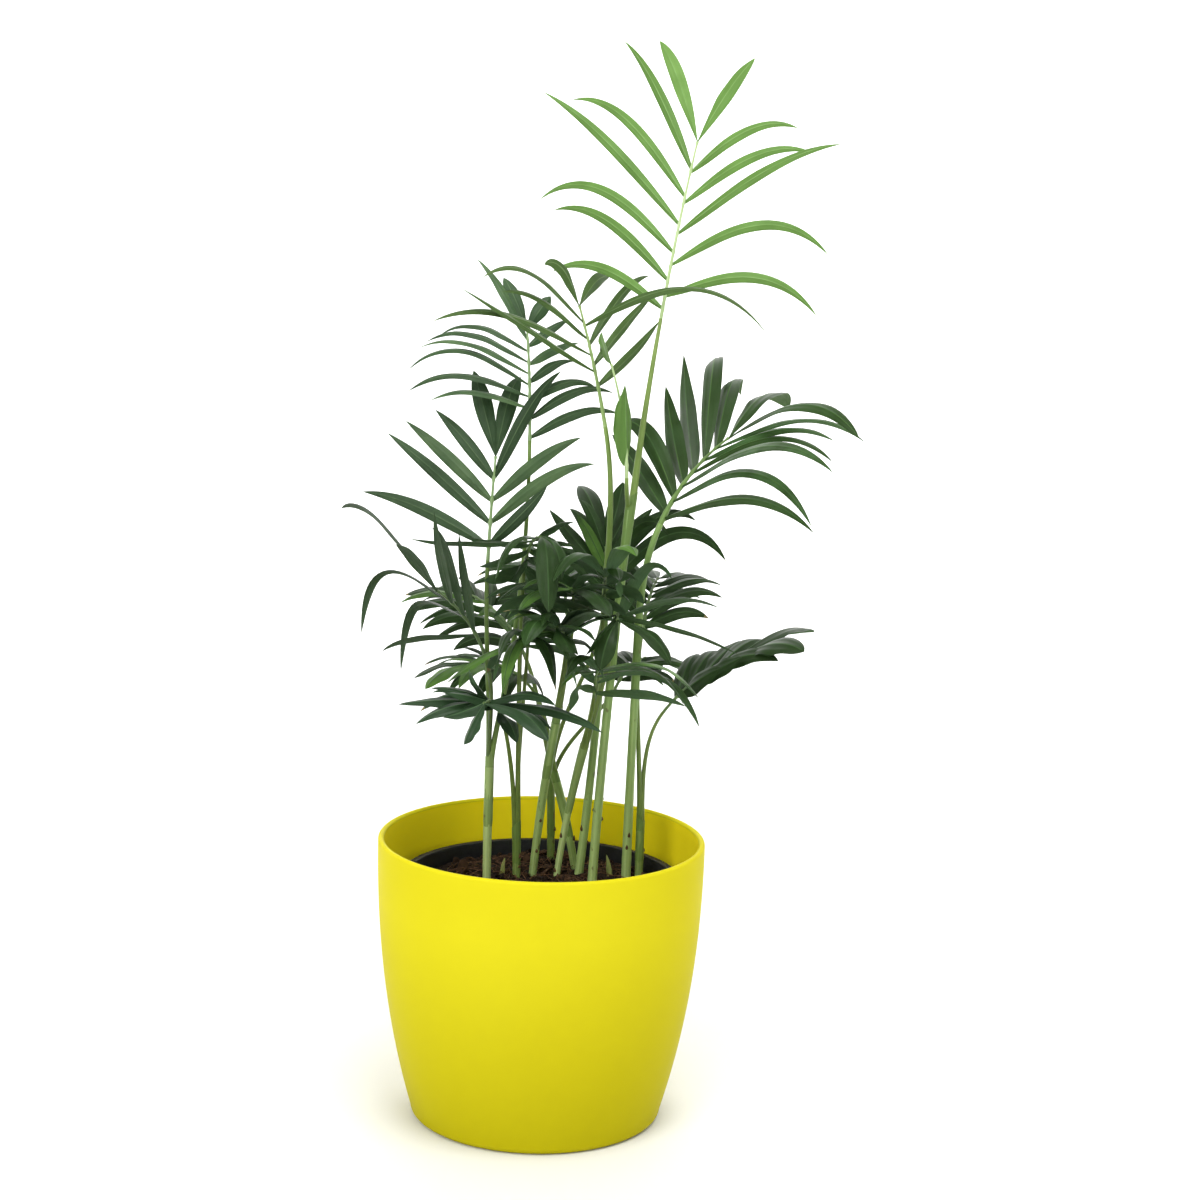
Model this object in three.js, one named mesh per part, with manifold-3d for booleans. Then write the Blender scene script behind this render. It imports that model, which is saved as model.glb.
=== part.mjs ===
// A parlour palm in its pot: a clump of thin stems in a black nursery pot, which stands inside a
// smooth yellow planter. Millimetres, +Z up, origin at the middle of the planter's flat underside,
// front of the plant towards -Y. Run it with the npm packages three and manifold-3d.
//
// Each stem carries one to four leaf stalks, and each stalk one frond. A frond is a curved rachis
// with a row of leaflets on either side. A leaflet that would touch another part is tilted a
// little until it is clear of it, or left out.

import * as THREE from "three";
import { mergeVertices } from "three/addons/utils/BufferGeometryUtils.js";
import Module from "manifold-3d";

const wasm = await Module();
wasm.setup();

// ---------------------------------------------------------------- driving dimensions

/** Clear distance between two parts that rest on each other. */
const SEAT = 0.3;

const PLANTER = {
  rimRadius: 80,
  footRadius: 61,
  height: 140,
  wall: 3,
  floor: 4,
  swell: 2.24, // how quickly the side turns upright above the foot
  footRounding: 4,
};

const NURSERY_POT = {
  rimRadius: 69,
  topRadius: 67,
  footRadius: 50,
  height: 116,
  wall: 1.6,
  floor: 2,
  rimDepth: 5,
};

const SOIL_TOP = 110;
const SOIL_ROUNDING = 3;

/**
 * Stems: foot [x, y] on the soil, top [x, y, z], radius at foot and top. Where several stalks grow
 * from one top, seats are the directions, in degrees from +X, in which they stand off its middle,
 * in the order of their fronds. lean replaces FOOT_LEAN.
 */
const STEMS = [
  { name: "left", foot: [-27, 9], top: [-27, 9.5, 172], radii: [2.4, 2.8], seats: [-5, 115, 235] },
  { name: "left_inner", foot: [-12.5, 19], top: [-13, 18, 134], radii: [2.2, 2.5],
    seats: [-30, 90, 210] },
  { name: "left_centre", foot: [-5, 25], top: [5, 14, 194], radii: [2.0, 2.4], seats: [0, 180] },
  { name: "centre_back", foot: [4, 46], top: [3, 45, 152], radii: [2.2, 2.5],
    seats: [-100, 140, 20] },
  { name: "centre", foot: [7, 24], top: [18, 18, 176], radii: [1.9, 2.3], seats: [90, -30, 210] },
  { name: "centre_right", foot: [17, 34], top: [6, 31, 160], radii: [1.9, 2.3],
    seats: [164, -16] },
  { name: "right_inner", foot: [18, 27], top: [27.5, 24, 250], radii: [2.3, 1.9], lean: 0.8 },
  { name: "right", foot: [25, 11], top: [38, 19, 300], radii: [2.4, 2.1], seats: [0, 180] },
  { name: "far_right", foot: [42, 22], top: [44, 15, 238], radii: [2.5, 2.0] },
  { name: "right_back", foot: [48.5, 24], top: [48.5, 24, 138], radii: [2.1, 2.2],
    seats: [150, -30] },
];

/** Young shoots that stand free on the soil: foot [x, y], height, radius, lean [x, y]. */
const SHOOTS = [
  { name: "left", foot: [-20, 20], height: 13, radius: 1.7, lean: [1.5, -1] },
  { name: "right", foot: [34, 24], height: 15, radius: 1.9, lean: [-2, -1] },
];

/**
 * Fronds, from the top of the plant down. Each has the stem it grows from, the foot and tip of its
 * rachis, the rise of the rachis above the straight line between them, its roll about the rachis in
 * degrees, the breadth of its leaflets, which a row of them may have of its own, and the radius of
 * its stalk at foot and top. hold and bend replace STALK_HOLD and BEND, and a frond with no tone is
 * dark. Left and right are as seen looking from foot to tip.
 * A row of leaflets starts at a fraction of the rachis and ends at its tip. spread is the angle
 * between leaflet and rachis, lift tilts it to the upper face, both in degrees, and droop bends it
 * down. Their values, and reach, the leaflets' length, are read evenly along the row.
 */
const FRONDS = [
  {
    name: "top", stem: "right", foot: [50, 10, 394], tip: [65, 30, 477], rise: 1, roll: -15,
    tone: "light", breadth: 5.8, stalk: [1.9, 0.9],
    left: { count: 7, from: 0.05, spread: [60, 51, 52, 50, 44, 34, 29], lift: [-3, 3, 12, 3, 0],
      reach: [70, 78, 87, 97, 86, 80, 60], droop: [1.0, 0.9, 1.3, 0.4, 0.9, 0.5, 0.5] },
    right: { count: 6, from: 0.12, spread: [60, 48, 42, 41, 38, 18], lift: [-12, -6, -8, 0],
      reach: [80, 84, 90, 69, 59, 49], droop: [1.55, 1.5, 0.55, 0.9, 1.0, 0.4] },
  },
  {
    name: "young", stem: "right", foot: [36, 3, 318], tip: [27, 3, 372], rise: 2, roll: 0,
    tone: "light", breadth: 4.2, stalk: [1.2, 1.0], hold: [0.2, 0.5],
    left: { count: 2, from: 0.1, spread: [9, 4], lift: [0], reach: [40, 16], droop: [0.1] },
    right: { count: 2, from: 0.2, spread: [8, 4], lift: [0], reach: [30, 14], droop: [0.1] },
  },
  {
    name: "upper_left", stem: "right_inner", foot: [25, 5, 342], tip: [11, 18, 398], rise: 1,
    roll: 0, tone: "middle", breadth: 5.4, stalk: [1.8, 1.1],
    left: { count: 5, from: 0.45, spread: [60, 62, 50, 52, 22], lift: [0, 0, 5, 15, 30],
      reach: [88, 96, 56, 74, 30], droop: [0.05, 0.8, 0.75, 1.1, 1.2] },
    right: { count: 5, from: 0.33, spread: [64, 54, 48, 80, 50], lift: [0, 3, 4, 72, 0],
      reach: [60, 62, 68, 104, 36], droop: [-0.3, 0.2, 0.65, 1.6, 0.8] },
  },
  {
    name: "left_high", stem: "left", foot: [-11, 8, 334], tip: [-14, 22, 386], rise: 3, roll: 0,
    tone: "middle", breadth: 5.4, stalk: [1.4, 0.9], hold: [0.12, 0.6],
    left: { count: 8, from: 0.28, spread: [69, 66, 54, 57, 56, 54, 22, 16], lift: [-4],
      reach: [50, 62, 66, 58, 54, 47, 50, 30], droop: [0.9, 1.15, 1.5, 1.0, 1.1, 1.2, 0.5, 0.4] },
    right: { count: 7, from: 0.02, spread: [58, 54, 58, 50, 58, 50, 34], lift: [0],
      reach: [48, 46, 36, 26, 28, 26, 22], droop: [0.9, 1.0, 1.1, 0.5, 0.4, 0.2] },
  },
  {
    name: "right", stem: "far_right", foot: [53, 4, 296], tip: [85, 24, 336], rise: 4, roll: 0,
    tone: "middle", breadth: 5.8, stalk: [1.9, 1.5],
    left: { count: 7, from: 0.1, breadth: 7.8, spread: [62, 49, 53, 57, 38, 38, 23],
      lift: [8, 44, 4, -9, 29, 18, 21], reach: [74, 62, 72, 114, 118, 96, 70],
      droop: [0.2, 1.25, -0.4, -0.5, 1.6, 1.3, 1.35] },
    right: { count: 7, from: 0.05, spread: [69, 64, 71, 37, 42, 40, 70],
      lift: [6, 13, 19, 0, 4, 4, 24], reach: [113, 112, 134, 77, 70, 79, 98],
      droop: [0.9, 1.45, 0.85, 1.4, 1.0, 1.2, 1.25] },
  },
  {
    name: "left_mid", stem: "left", foot: [-29, -10, 278], tip: [-27, 4, 326], rise: 1, roll: 0,
    breadth: 6.8, stalk: [1.4, 1.0],
    left: { count: 5, from: 0.13, spread: [62, 50, 48, 40, 18], lift: [0],
      reach: [69, 68, 59, 46, 45], droop: [0.44, 0.15, 0.18, 0.3, 0.2] },
    right: { count: 5, from: 0.14, spread: [44, 45, 44, 22, 6], lift: [0],
      reach: [40, 59, 53, 62, 46], droop: [-0.2, 0.7, 0.45, 0.65, 0.9] },
  },
  {
    name: "heart_left", stem: "left_inner", foot: [-12, -1, 271], tip: [-4, -24, 292],
    rise: 5, roll: 0, breadth: 6.8, stalk: [1.4, 1.0], hold: [0.4, 0.1],
    left: { count: 4, from: 0.1, spread: [134, 100, 43, 16], lift: [-24, 0, 29, -9],
      reach: [34, 32, 24, 30], droop: [-0.2, 0.5, 0.65, 5] },
    right: { count: 4, from: 0.1, spread: [103, 93, 87, 9], lift: [-22, -20, -3, -7],
      reach: [24, 28, 62, 51], droop: [-0.4, -0.1, -0.2, 5.7] },
  },
  {
    name: "heart_mid", stem: "centre", foot: [27, 0, 257], tip: [27.5, -26, 275], rise: 4,
    roll: 0, breadth: 8, stalk: [1.3, 1.0],
    left: { count: 4, from: 0.15, spread: [53, 35, 32, 60], lift: [-2, 15, 60, 70],
      reach: [24, 24, 29, 32], droop: [1.9, 1.4, 4.5, 1.6] },
    right: { count: 3, from: 0.1, spread: [61, 77, 49], lift: [-5, 43, 44],
      reach: [43, 33, 48], droop: [-0.5, 1.85, 2.1] },
  },
  {
    name: "heart_front", stem: "left_centre", foot: [12.5, 3, 252], tip: [11, -20, 267], rise: 4,
    roll: 0, breadth: 7.4, stalk: [1.3, 1.0], hold: [0.4, 0.1],
    left: { count: 3, from: 0.2, spread: [60, 55, 35], lift: [5, 10, 15],
      reach: [34, 36, 40], droop: [1.6, 1.4, 1.2] },
    right: { count: 4, from: 0.1, spread: [70, 62, 50, 35], lift: [0, 5, 10, 15],
      reach: [42, 46, 44, 40], droop: [1.4, 1.2, 1.3, 1.1] },
  },
  {
    name: "heart_back", stem: "centre_back", foot: [27, 34, 250.5], tip: [27, 50, 276.5], rise: 2,
    roll: 0, breadth: 8, stalk: [1.2, 1.0],
    left: { count: 4, from: 0.23, spread: [42, 40, 24, 14], lift: [0],
      reach: [38, 45, 40, 54], droop: [0.7, 0, 0.65, 0.75] },
    right: { count: 4, from: 0.2, spread: [44, 35, 34, 13], lift: [29, 18, 1, -2],
      reach: [78, 64, 40, 40], droop: [1.8, 1.3, 0.2, -0.6] },
  },
  {
    name: "centre_front", stem: "left_centre", foot: [9, 8, 232], tip: [5, -30, 250], rise: 5,
    roll: 0, breadth: 7, stalk: [1.2, 0.9], hold: [0.4, 0.1],
    left: { count: 4, from: 0.15, spread: [38, 24, 24, 16], lift: [-33, 7, 0, -7],
      reach: [49, 62, 55, 46], droop: [1.8, 0.5, 0.5, 0.1] },
    right: { count: 4, from: 0.15, spread: [26, 20, 30, 35], lift: [-3, 6, 30, 60],
      reach: [40, 60, 46, 38], droop: [1.5, 0.5, 1, 2] },
  },
  {
    name: "heart_right", stem: "centre", foot: [33.5, 4, 244], tip: [33.5, -30, 254.5], rise: 5,
    roll: 0, breadth: 7.4, stalk: [1.4, 1.0], hold: [0.4, 0.1],
    left: { count: 5, from: 0.1, spread: [48, 53, 66, 68, 63], lift: [66, 27, 7, -5, -3],
      reach: [48, 58, 60, 63, 35], droop: [1.6, 0.8, -0.2, 0.4, 1.8] },
    right: { count: 4, from: 0.2, spread: [54, 75, 59, 30], lift: [16, -11, -50, -40],
      reach: [49, 33, 27, 28], droop: [0.05, 1.5, 0.1, 2.5] },
  },
  {
    name: "back_right", stem: "right_back", foot: [46, 34, 234], tip: [54, 70, 258], rise: 5,
    roll: 0, breadth: 6.4, stalk: [1.3, 1.0],
    left: { count: 5, from: 0.12, spread: [58, 52, 46, 38, 22], lift: [2],
      reach: [42, 52, 54, 48, 38], droop: [1.0, 1.1, 0.9] },
    right: { count: 5, from: 0.12, spread: [54, 48, 42, 36, 22], lift: [2],
      reach: [36, 44, 46, 42, 36], droop: [1.1, 1.0, 1.0] },
  },
  {
    name: "back_centre", stem: "centre_back", foot: [9, 60, 236], tip: [2, 100, 258], rise: 6,
    roll: 0, breadth: 7, stalk: [1.2, 1.0],
    left: { count: 5, from: 0.12, spread: [66, 58, 50, 40, 22], lift: [2],
      reach: [44, 54, 54, 48, 40], droop: [1.0, 1.1, 0.9] },
    right: { count: 5, from: 0.12, spread: [66, 58, 50, 40, 22], lift: [2],
      reach: [44, 54, 54, 48, 38], droop: [1.1, 1.0, 1.0] },
  },
  {
    name: "far_left", stem: "left", foot: [-30, -6, 232], tip: [-52, -20, 264], rise: 3,
    roll: -30, breadth: 5.4, stalk: [1.2, 1.0], bend: 4,
    left: { count: 4, from: 0.28, spread: [22, 24, 42, 24], lift: [-2, 0, -23, -5],
      reach: [59, 70, 86, 46], droop: [-0.6, 1, -0.6, 0.5] },
    right: { count: 4, from: 0.26, spread: [79, 80, 52, 67], lift: [-7, 31, 32, 53],
      reach: [52, 82, 78, 90], droop: [0.7, 11.5, 10.5, 1] },
  },
  {
    name: "back_left", stem: "centre_right", foot: [-12, 42, 222], tip: [-42, 66, 248], rise: 5,
    roll: 0, breadth: 7, stalk: [1.4, 1.0],
    left: { count: 5, from: 0.12, spread: [66, 58, 50, 40, 22], lift: [2],
      reach: [42, 50, 50, 44, 36], droop: [1.0, 1.1, 0.9] },
    right: { count: 5, from: 0.12, spread: [66, 58, 50, 40, 22], lift: [2],
      reach: [42, 50, 50, 44, 34], droop: [1.1, 1.0, 1.0] },
  },
  {
    name: "low_centre", stem: "centre_right", foot: [-8, 30, 208], tip: [-36, 19, 222], rise: 4,
    roll: 0, breadth: 7, stalk: [1.2, 0.9],
    left: { count: 4, from: 0.15, spread: [72, 60, 46, 24], lift: [0, 4],
      reach: [40, 46, 42, 34], droop: [1.4, 1.2, 1, 1] },
    right: { count: 4, from: 0.15, spread: [66, 56, 44, 24], lift: [2],
      reach: [36, 42, 40, 32], droop: [1.1, 1, 1] },
  },
  {
    name: "low_hanging", stem: "left_inner", foot: [-9.5, 6, 231], tip: [-7.5, -20, 243], rise: 4,
    roll: 0, breadth: 7.4, stalk: [1.2, 0.9],
    left: { count: 4, from: 0.15, spread: [60, 26, 24, 67], lift: [-20, 0, -7, 58],
      reach: [40, 56, 42, 30], droop: [1.5, 3, 4, 2.3] },
    right: { count: 4, from: 0.15, spread: [54, 22, 26, 82], lift: [-14, -15, 15, 5],
      reach: [31, 54, 45, 46], droop: [2.9, 3, 3.6, 0.8] },
  },
  {
    name: "low_middle", stem: "centre", foot: [23.5, 2, 210.5], tip: [25, -28, 230], rise: 3,
    roll: 0, breadth: 7, stalk: [1.3, 0.9],
    left: { count: 3, from: 0.1, spread: [71, 86, 59], lift: [-10, 14, 29],
      reach: [47, 65, 58], droop: [0.6, 2.9, 1.6] },
    right: { count: 3, from: 0.1, spread: [30, 56, 45], lift: [-6, 14, 37],
      reach: [27, 39, 32], droop: [3.6, 1, 2.3] },
  },
  {
    name: "low_left", stem: "left_inner", foot: [-21.5, -4, 202], tip: [-28, -34, 213.5], rise: 3,
    roll: 0, breadth: 7.2, stalk: [1.3, 0.9],
    left: { count: 3, from: 0.05, spread: [66, 72, 59], lift: [-43, -2, 7],
      reach: [22, 62, 46], droop: [1.5, 0.55, 1.15] },
    right: { count: 6, from: 0.2, spread: [13, 74, 54, 51, 53, 71], lift: [2, 27, -6, -10, -28, -60],
      reach: [37, 40, 48, 40, 24, 22], droop: [-0.6, 1.5, 0.25, 0.7, -0.2, 1.15] },
  },
  {
    name: "low_right", stem: "right_back", foot: [58.5, 30, 198], tip: [93.5, 34, 225.5], rise: 3,
    roll: 0, breadth: 7.2, stalk: [1.3, 0.9],
    left: { count: 6, from: 0, spread: [58, 43, 42, 40, 38, 30], lift: [34, 20, 15, 6, 7, 12],
      reach: [32, 38, 36, 34, 38, 56], droop: [0.6, 0.9, 0.9, 0.4, 0.7, 0.9] },
    right: { count: 5, from: 0, spread: [84, 32, 35, 34, 42], lift: [54, 6, 0, 10, 20],
      reach: [34, 30, 30, 38, 44], droop: [1.7, 0.35, 0, 0.9, 0.9] },
  },
  {
    name: "low_back", stem: "centre_back", foot: [34, 52, 204], tip: [52, 84, 214], rise: 5,
    roll: 0, breadth: 6.4, stalk: [1.1, 0.9],
    left: { count: 4, from: 0.15, spread: [60, 52, 42, 22], lift: [2],
      reach: [34, 42, 42, 34], droop: [1.0, 1.1, 0.9] },
    right: { count: 4, from: 0.15, spread: [58, 48, 38, 22], lift: [2],
      reach: [30, 36, 36, 32], droop: [1.1, 1.0, 1.0] },
  },
];

/** Lean of a stem at its foot: 0 is upright, 0.5 straight to its top, and more curves back. */
const FOOT_LEAN = 0.35;

/** A leaflet's sag grows as this power of the way to its tip, unless its frond says otherwise. */
const BEND = 2;

/** Rachis radius at its foot, as a share of its stalk's top, and at its tip. */
const RACHIS_TAPER = 0.95;
const RACHIS_TIP_RADIUS = 0.5;

/** The last leaflet on each side is this much broader than the others. */
const END_BREADTH = 1.4;

/** Leaflet depth at the keel: a share of its length, and never less than the least depth. */
const KEEL_SHARE = 1 / 80;
const LEAST_KEEL = 0.9;

/** Outline of a leaflet: breadth grows as a power of t and shrinks as a power of 1 - t. */
const OUTLINE = { start: 0.04, shoulder: 0.8, taper: 0.9 };
const END_OUTLINE = { start: 0.04, shoulder: 1.3, taper: 0.8 };

/** Room that a leaflet keeps all round it, and the tilts in degrees that it tries to find it. */
const CLEARANCE = 0.35;
const TILTS = [0, 7, -7, 14, -14, 21, -21, 28, -28];

const LIMB_SIDES = 8;
const STALK_SIDES = 6;
const RACHIS_SIDES = 5;
const STEM_STEPS = 4;
const STALK_STEPS = 8;
const RACHIS_STEPS = 5;
const LEAF_STEPS = 20;
const LEAF_RINGS = { long: 5, short: 4 };
const LONG_LEAF = 60;
const ROUND_SIDES = 36;

const UP = new THREE.Vector3(0, 0, 1);
const DOWN = new THREE.Vector3(0, 0, -1);

// ---------------------------------------------------------------- small helpers

const radians = THREE.MathUtils.degToRad;

function vector(values) {
  return new THREE.Vector3(...values);
}

/** Sum of the first vector and each further vector times the number that follows it. */
function combine(origin, ...terms) {
  const sum = origin.clone();
  for (let i = 0; i < terms.length; i += 2) {
    sum.addScaledVector(terms[i], terms[i + 1]);
  }
  return sum;
}

/** Value at a fraction of a list, read evenly from its first entry to its last. */
function along(list, fraction) {
  const place = fraction * (list.length - 1);
  const low = Math.min(Math.floor(place), Math.max(list.length - 2, 0));
  const high = Math.min(low + 1, list.length - 1);
  return THREE.MathUtils.lerp(list[low], list[high], place - low);
}

/** Moves each vertex of an upright unit cylinder or cone to place(height fraction, x, z). */
function reshape(geometry, place) {
  const position = geometry.getAttribute("position");
  for (let i = 0; i < position.count; i += 1) {
    const height = position.getY(i) + 0.5;
    const moved = place(height, position.getX(i), position.getZ(i));
    position.setXYZ(i, moved.x, moved.y, moved.z);
  }
  return geometry;
}

function toSolid(geometry) {
  const bare = geometry.clone();
  bare.deleteAttribute("normal");
  bare.deleteAttribute("uv");
  const merged = mergeVertices(bare);
  return new wasm.Manifold(new wasm.Mesh({
    numProp: 3,
    vertProperties: new Float32Array(merged.getAttribute("position").array),
    triVerts: new Uint32Array(merged.getIndex().array),
  }));
}

function toGeometry(solid) {
  const { vertProperties, triVerts } = solid.getMesh();
  const geometry = new THREE.BufferGeometry();
  geometry.setAttribute("position", new THREE.BufferAttribute(vertProperties, 3));
  geometry.setIndex(new THREE.BufferAttribute(triVerts, 1));
  geometry.computeVertexNormals();
  return geometry;
}

// ---------------------------------------------------------------- pots, soil

/** A shape turned about the vertical axis from [radius, height] points. */
function turned(profile) {
  const points = profile.map(([radius, height]) => new THREE.Vector2(radius, height));
  const geometry = new THREE.LatheGeometry(points, ROUND_SIDES);
  geometry.rotateX(Math.PI / 2);
  return geometry;
}

/** Outer radius of the planter at a height. */
function planterRadius(height) {
  const below = 1 - height / PLANTER.height;
  return PLANTER.rimRadius - (PLANTER.rimRadius - PLANTER.footRadius) * below ** PLANTER.swell;
}

function planter() {
  const heights = [0.1, 0.3, 0.55, 0.8, 1].map((share) => share * PLANTER.height);
  const outside = heights.map((height) => [planterRadius(height), height]);
  const inside = heights
    .filter((height) => height > PLANTER.floor)
    .reverse()
    .map((height) => [planterRadius(height) - PLANTER.wall, height]);
  return turned([
    [0, 0],
    [PLANTER.footRadius - PLANTER.footRounding, 0],
    [PLANTER.footRadius - 0.3 * PLANTER.footRounding, 0.3 * PLANTER.footRounding],
    ...outside,
    ...inside,
    [PLANTER.footRadius - PLANTER.wall, PLANTER.floor],
    [0, PLANTER.floor],
  ]);
}

const NURSERY_FOOT = PLANTER.floor + SEAT;
const NURSERY_RIM = NURSERY_FOOT + NURSERY_POT.height;

function nurseryPot() {
  const { rimRadius, topRadius, footRadius, wall, floor, rimDepth } = NURSERY_POT;
  return turned([
    [0, NURSERY_FOOT],
    [footRadius, NURSERY_FOOT],
    [topRadius, NURSERY_RIM - rimDepth],
    [rimRadius, NURSERY_RIM - rimDepth],
    [rimRadius, NURSERY_RIM],
    [topRadius - wall, NURSERY_RIM],
    [footRadius - wall, NURSERY_FOOT + floor],
    [0, NURSERY_FOOT + floor],
  ]);
}

/** Inner radius of the nursery pot at a height. */
function nurseryInside(height) {
  const { topRadius, footRadius, wall, floor } = NURSERY_POT;
  const rise = (height - NURSERY_FOOT - floor) / (NURSERY_RIM - NURSERY_FOOT - floor);
  return THREE.MathUtils.lerp(footRadius, topRadius, rise) - wall;
}

function soil() {
  const bottom = NURSERY_FOOT + NURSERY_POT.floor + SEAT;
  const edge = SOIL_TOP - SOIL_ROUNDING;
  return turned([
    [0, bottom],
    [nurseryInside(bottom) - SEAT, bottom],
    [nurseryInside(edge) - SEAT, edge],
    [nurseryInside(SOIL_TOP) - SEAT - SOIL_ROUNDING, SOIL_TOP],
    [0, SOIL_TOP],
  ]);
}

// ---------------------------------------------------------------- stems and stalks

/** A round limb along a curve, tapering evenly from the first radius to the second. */
function limb(curve, radii, sides, steps) {
  const frames = curve.computeFrenetFrames(steps, false);
  return reshape(new THREE.CylinderGeometry(1, 1, 1, sides, steps), (height, x, z) => {
    const step = Math.round(height * steps);
    const radius = THREE.MathUtils.lerp(radii[0], radii[1], height);
    const centre = curve.getPointAt(step / steps);
    return combine(centre, frames.binormals[step], x * radius, frames.normals[step], z * radius);
  });
}

/** A stem leans a little as it leaves the soil, and more towards its top. */
function stemCurve(stem) {
  const foot = new THREE.Vector3(...stem.foot, SOIL_TOP + SEAT);
  const top = vector(stem.top);
  const bend = foot.clone().lerp(top, stem.lean ?? FOOT_LEAN).setZ((foot.z + top.z) / 2);
  return new THREE.QuadraticBezierCurve3(foot, bend, top);
}

/** Rachis of a frond: an arc from foot to tip that rises above the straight line. */
function rachisCurve(frond) {
  const foot = vector(frond.foot);
  const tip = vector(frond.tip);
  const chord = tip.clone().sub(foot).normalize();
  const upward = combine(UP, chord, -chord.z).normalize();
  const bend = combine(foot.clone().lerp(tip, 0.5), upward, 2 * frond.rise);
  return new THREE.QuadraticBezierCurve3(foot, bend, tip);
}

/** Where a stalk stands on its stem's top: one in the middle, or several round it, just apart. */
function stalkSeat(frond, stem) {
  const curve = stemCurve(stem);
  const upward = curve.getTangent(1);
  const mates = FRONDS.filter((other) => other.stem === stem.name);
  const seat = combine(curve.getPoint(1), upward, SEAT);
  if (mates.length > 1) {
    const thickest = Math.max(...mates.map((mate) => mate.stalk[0]));
    const apart = (thickest + SEAT / 2) / Math.sin(Math.PI / mates.length);
    const angle = radians(stem.seats[mates.indexOf(frond)]);
    const across = new THREE.Vector3(Math.cos(angle), Math.sin(angle), 0);
    seat.add(across.projectOnPlane(upward).setLength(apart));
  }
  return { seat, upward };
}

/** Share of a stalk's straight length over which it keeps to its stem's, and its frond's, way. */
const STALK_HOLD = [0.4, 0.3];

/** A stalk keeps its stem's direction at first, and ends in line with its frond's rachis. */
function stalkCurve(frond) {
  const { seat, upward } = stalkSeat(frond, STEMS.find((stem) => stem.name === frond.stem));
  const onward = rachisCurve(frond).getTangent(0);
  const end = combine(vector(frond.foot), onward, -SEAT);
  const length = seat.distanceTo(end);
  const hold = frond.hold ?? STALK_HOLD;
  return new THREE.CubicBezierCurve3(
    seat,
    combine(seat, upward, hold[0] * length),
    combine(end, onward, -hold[1] * length),
    end,
  );
}

function shoot({ foot, height, radius, lean }) {
  const start = new THREE.Vector3(...foot, SOIL_TOP + SEAT);
  return reshape(new THREE.ConeGeometry(radius, 1, LIMB_SIDES, 3), (share, x, z) => combine(
    start, UP, share * height,
    new THREE.Vector3(x + lean[0] * share ** 2, lean[1] * share ** 2 - z, 0), 1,
  ));
}

// ---------------------------------------------------------------- fronds

/** The rachis's point, direction, right-hand side and upper face at a fraction of its length. */
function frondFrame(frond, curve, fraction) {
  const onward = curve.getTangent(fraction);
  const heading = vector(frond.tip).sub(vector(frond.foot)).setZ(0).normalize();
  const level = new THREE.Vector3(heading.y, -heading.x, 0);
  const side = level.projectOnPlane(onward).normalize();
  const face = side.clone().cross(onward);
  const roll = radians(frond.roll);
  const turnedSide = side.clone().multiplyScalar(Math.cos(roll)).addScaledVector(face, Math.sin(roll));
  return {
    point: curve.getPoint(fraction),
    onward,
    side: turnedSide,
    face: turnedSide.clone().cross(onward),
  };
}

/** The leaflets of one side of a frond, each with its frame, angles and sizes. */
function leafletRow(frond, curve, row, sign) {
  const leaflets = [];
  for (let i = 0; i < row.count; i += 1) {
    const share = i / (row.count - 1);
    const isLast = i === row.count - 1;
    const reach = along(row.reach, share);
    leaflets.push({
      frame: frondFrame(frond, curve, THREE.MathUtils.lerp(row.from, 1, share)),
      sign,
      spread: radians(along(row.spread, share)),
      lift: radians(along(row.lift, share)),
      droop: along(row.droop, share),
      bend: frond.bend ?? BEND,
      reach,
      breadth: (row.breadth ?? frond.breadth) * (isLast ? END_BREADTH : 1),
      shape: isLast ? END_OUTLINE : OUTLINE,
      keel: Math.max(LEAST_KEEL, reach * KEEL_SHARE),
    });
  }
  return leaflets;
}

/** Points and directions down the middle of a leaflet, which sags more and more to its tip. */
function leafletSpine(leaflet, tilt) {
  const { frame, sign, spread, droop, reach } = leaflet;
  const lift = leaflet.lift + radians(tilt);
  const start = combine(
    frame.onward.clone().multiplyScalar(Math.cos(spread)),
    frame.side, sign * Math.sin(spread) * Math.cos(lift),
    frame.face, Math.sin(spread) * Math.sin(lift),
  );
  const points = [frame.point];
  const ways = [start];
  for (let i = 0; i < LEAF_STEPS; i += 1) {
    const middle = (i + 0.5) / LEAF_STEPS;
    const way = combine(start, DOWN, droop * middle ** leaflet.bend).normalize();
    points.push(combine(points[i], way, reach / LEAF_STEPS));
    ways.push(way);
  }
  return { points, ways };
}

/** Breadth of a leaflet at a fraction of its length, as a share of its greatest breadth. */
function outline(fraction, { start, shoulder, taper }) {
  const widest = (shoulder - taper * start) / (shoulder + taper);
  const at = (t) => (t + start) ** shoulder * (1 - t) ** taper;
  return at(fraction) / at(widest);
}

/** A leaflet: flat above, keeled below. room widens it all round, to test whether it is clear. */
function leafletGeometry(leaflet, tilt, room = 0) {
  const { points, ways } = leafletSpine(leaflet, tilt);
  const edge = Math.sin(Math.PI / 3);
  const rings = leaflet.reach > LONG_LEAF ? LEAF_RINGS.long : LEAF_RINGS.short;
  return reshape(new THREE.ConeGeometry(1, 1, 3, rings), (height, x, z) => {
    const step = Math.round(height * LEAF_STEPS);
    const way = ways[step];
    const face = combine(leaflet.frame.face, way, -leaflet.frame.face.dot(way)).normalize();
    const side = face.clone().cross(way);
    const shrink = height < 1 ? 1 / (1 - height) : 0;
    const half = leaflet.breadth / 2 * outline(height, leaflet.shape) + room;
    const depth = leaflet.keel * (1 - height ** 4);
    const across = x * shrink / edge * half;
    const below = (z * shrink + 0.5) / 1.5 * (depth + 2 * room) - room;
    return combine(points[step], side, across, face, -below);
  });
}

// ---------------------------------------------------------------- the plant

const palm = new THREE.Group();

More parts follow.
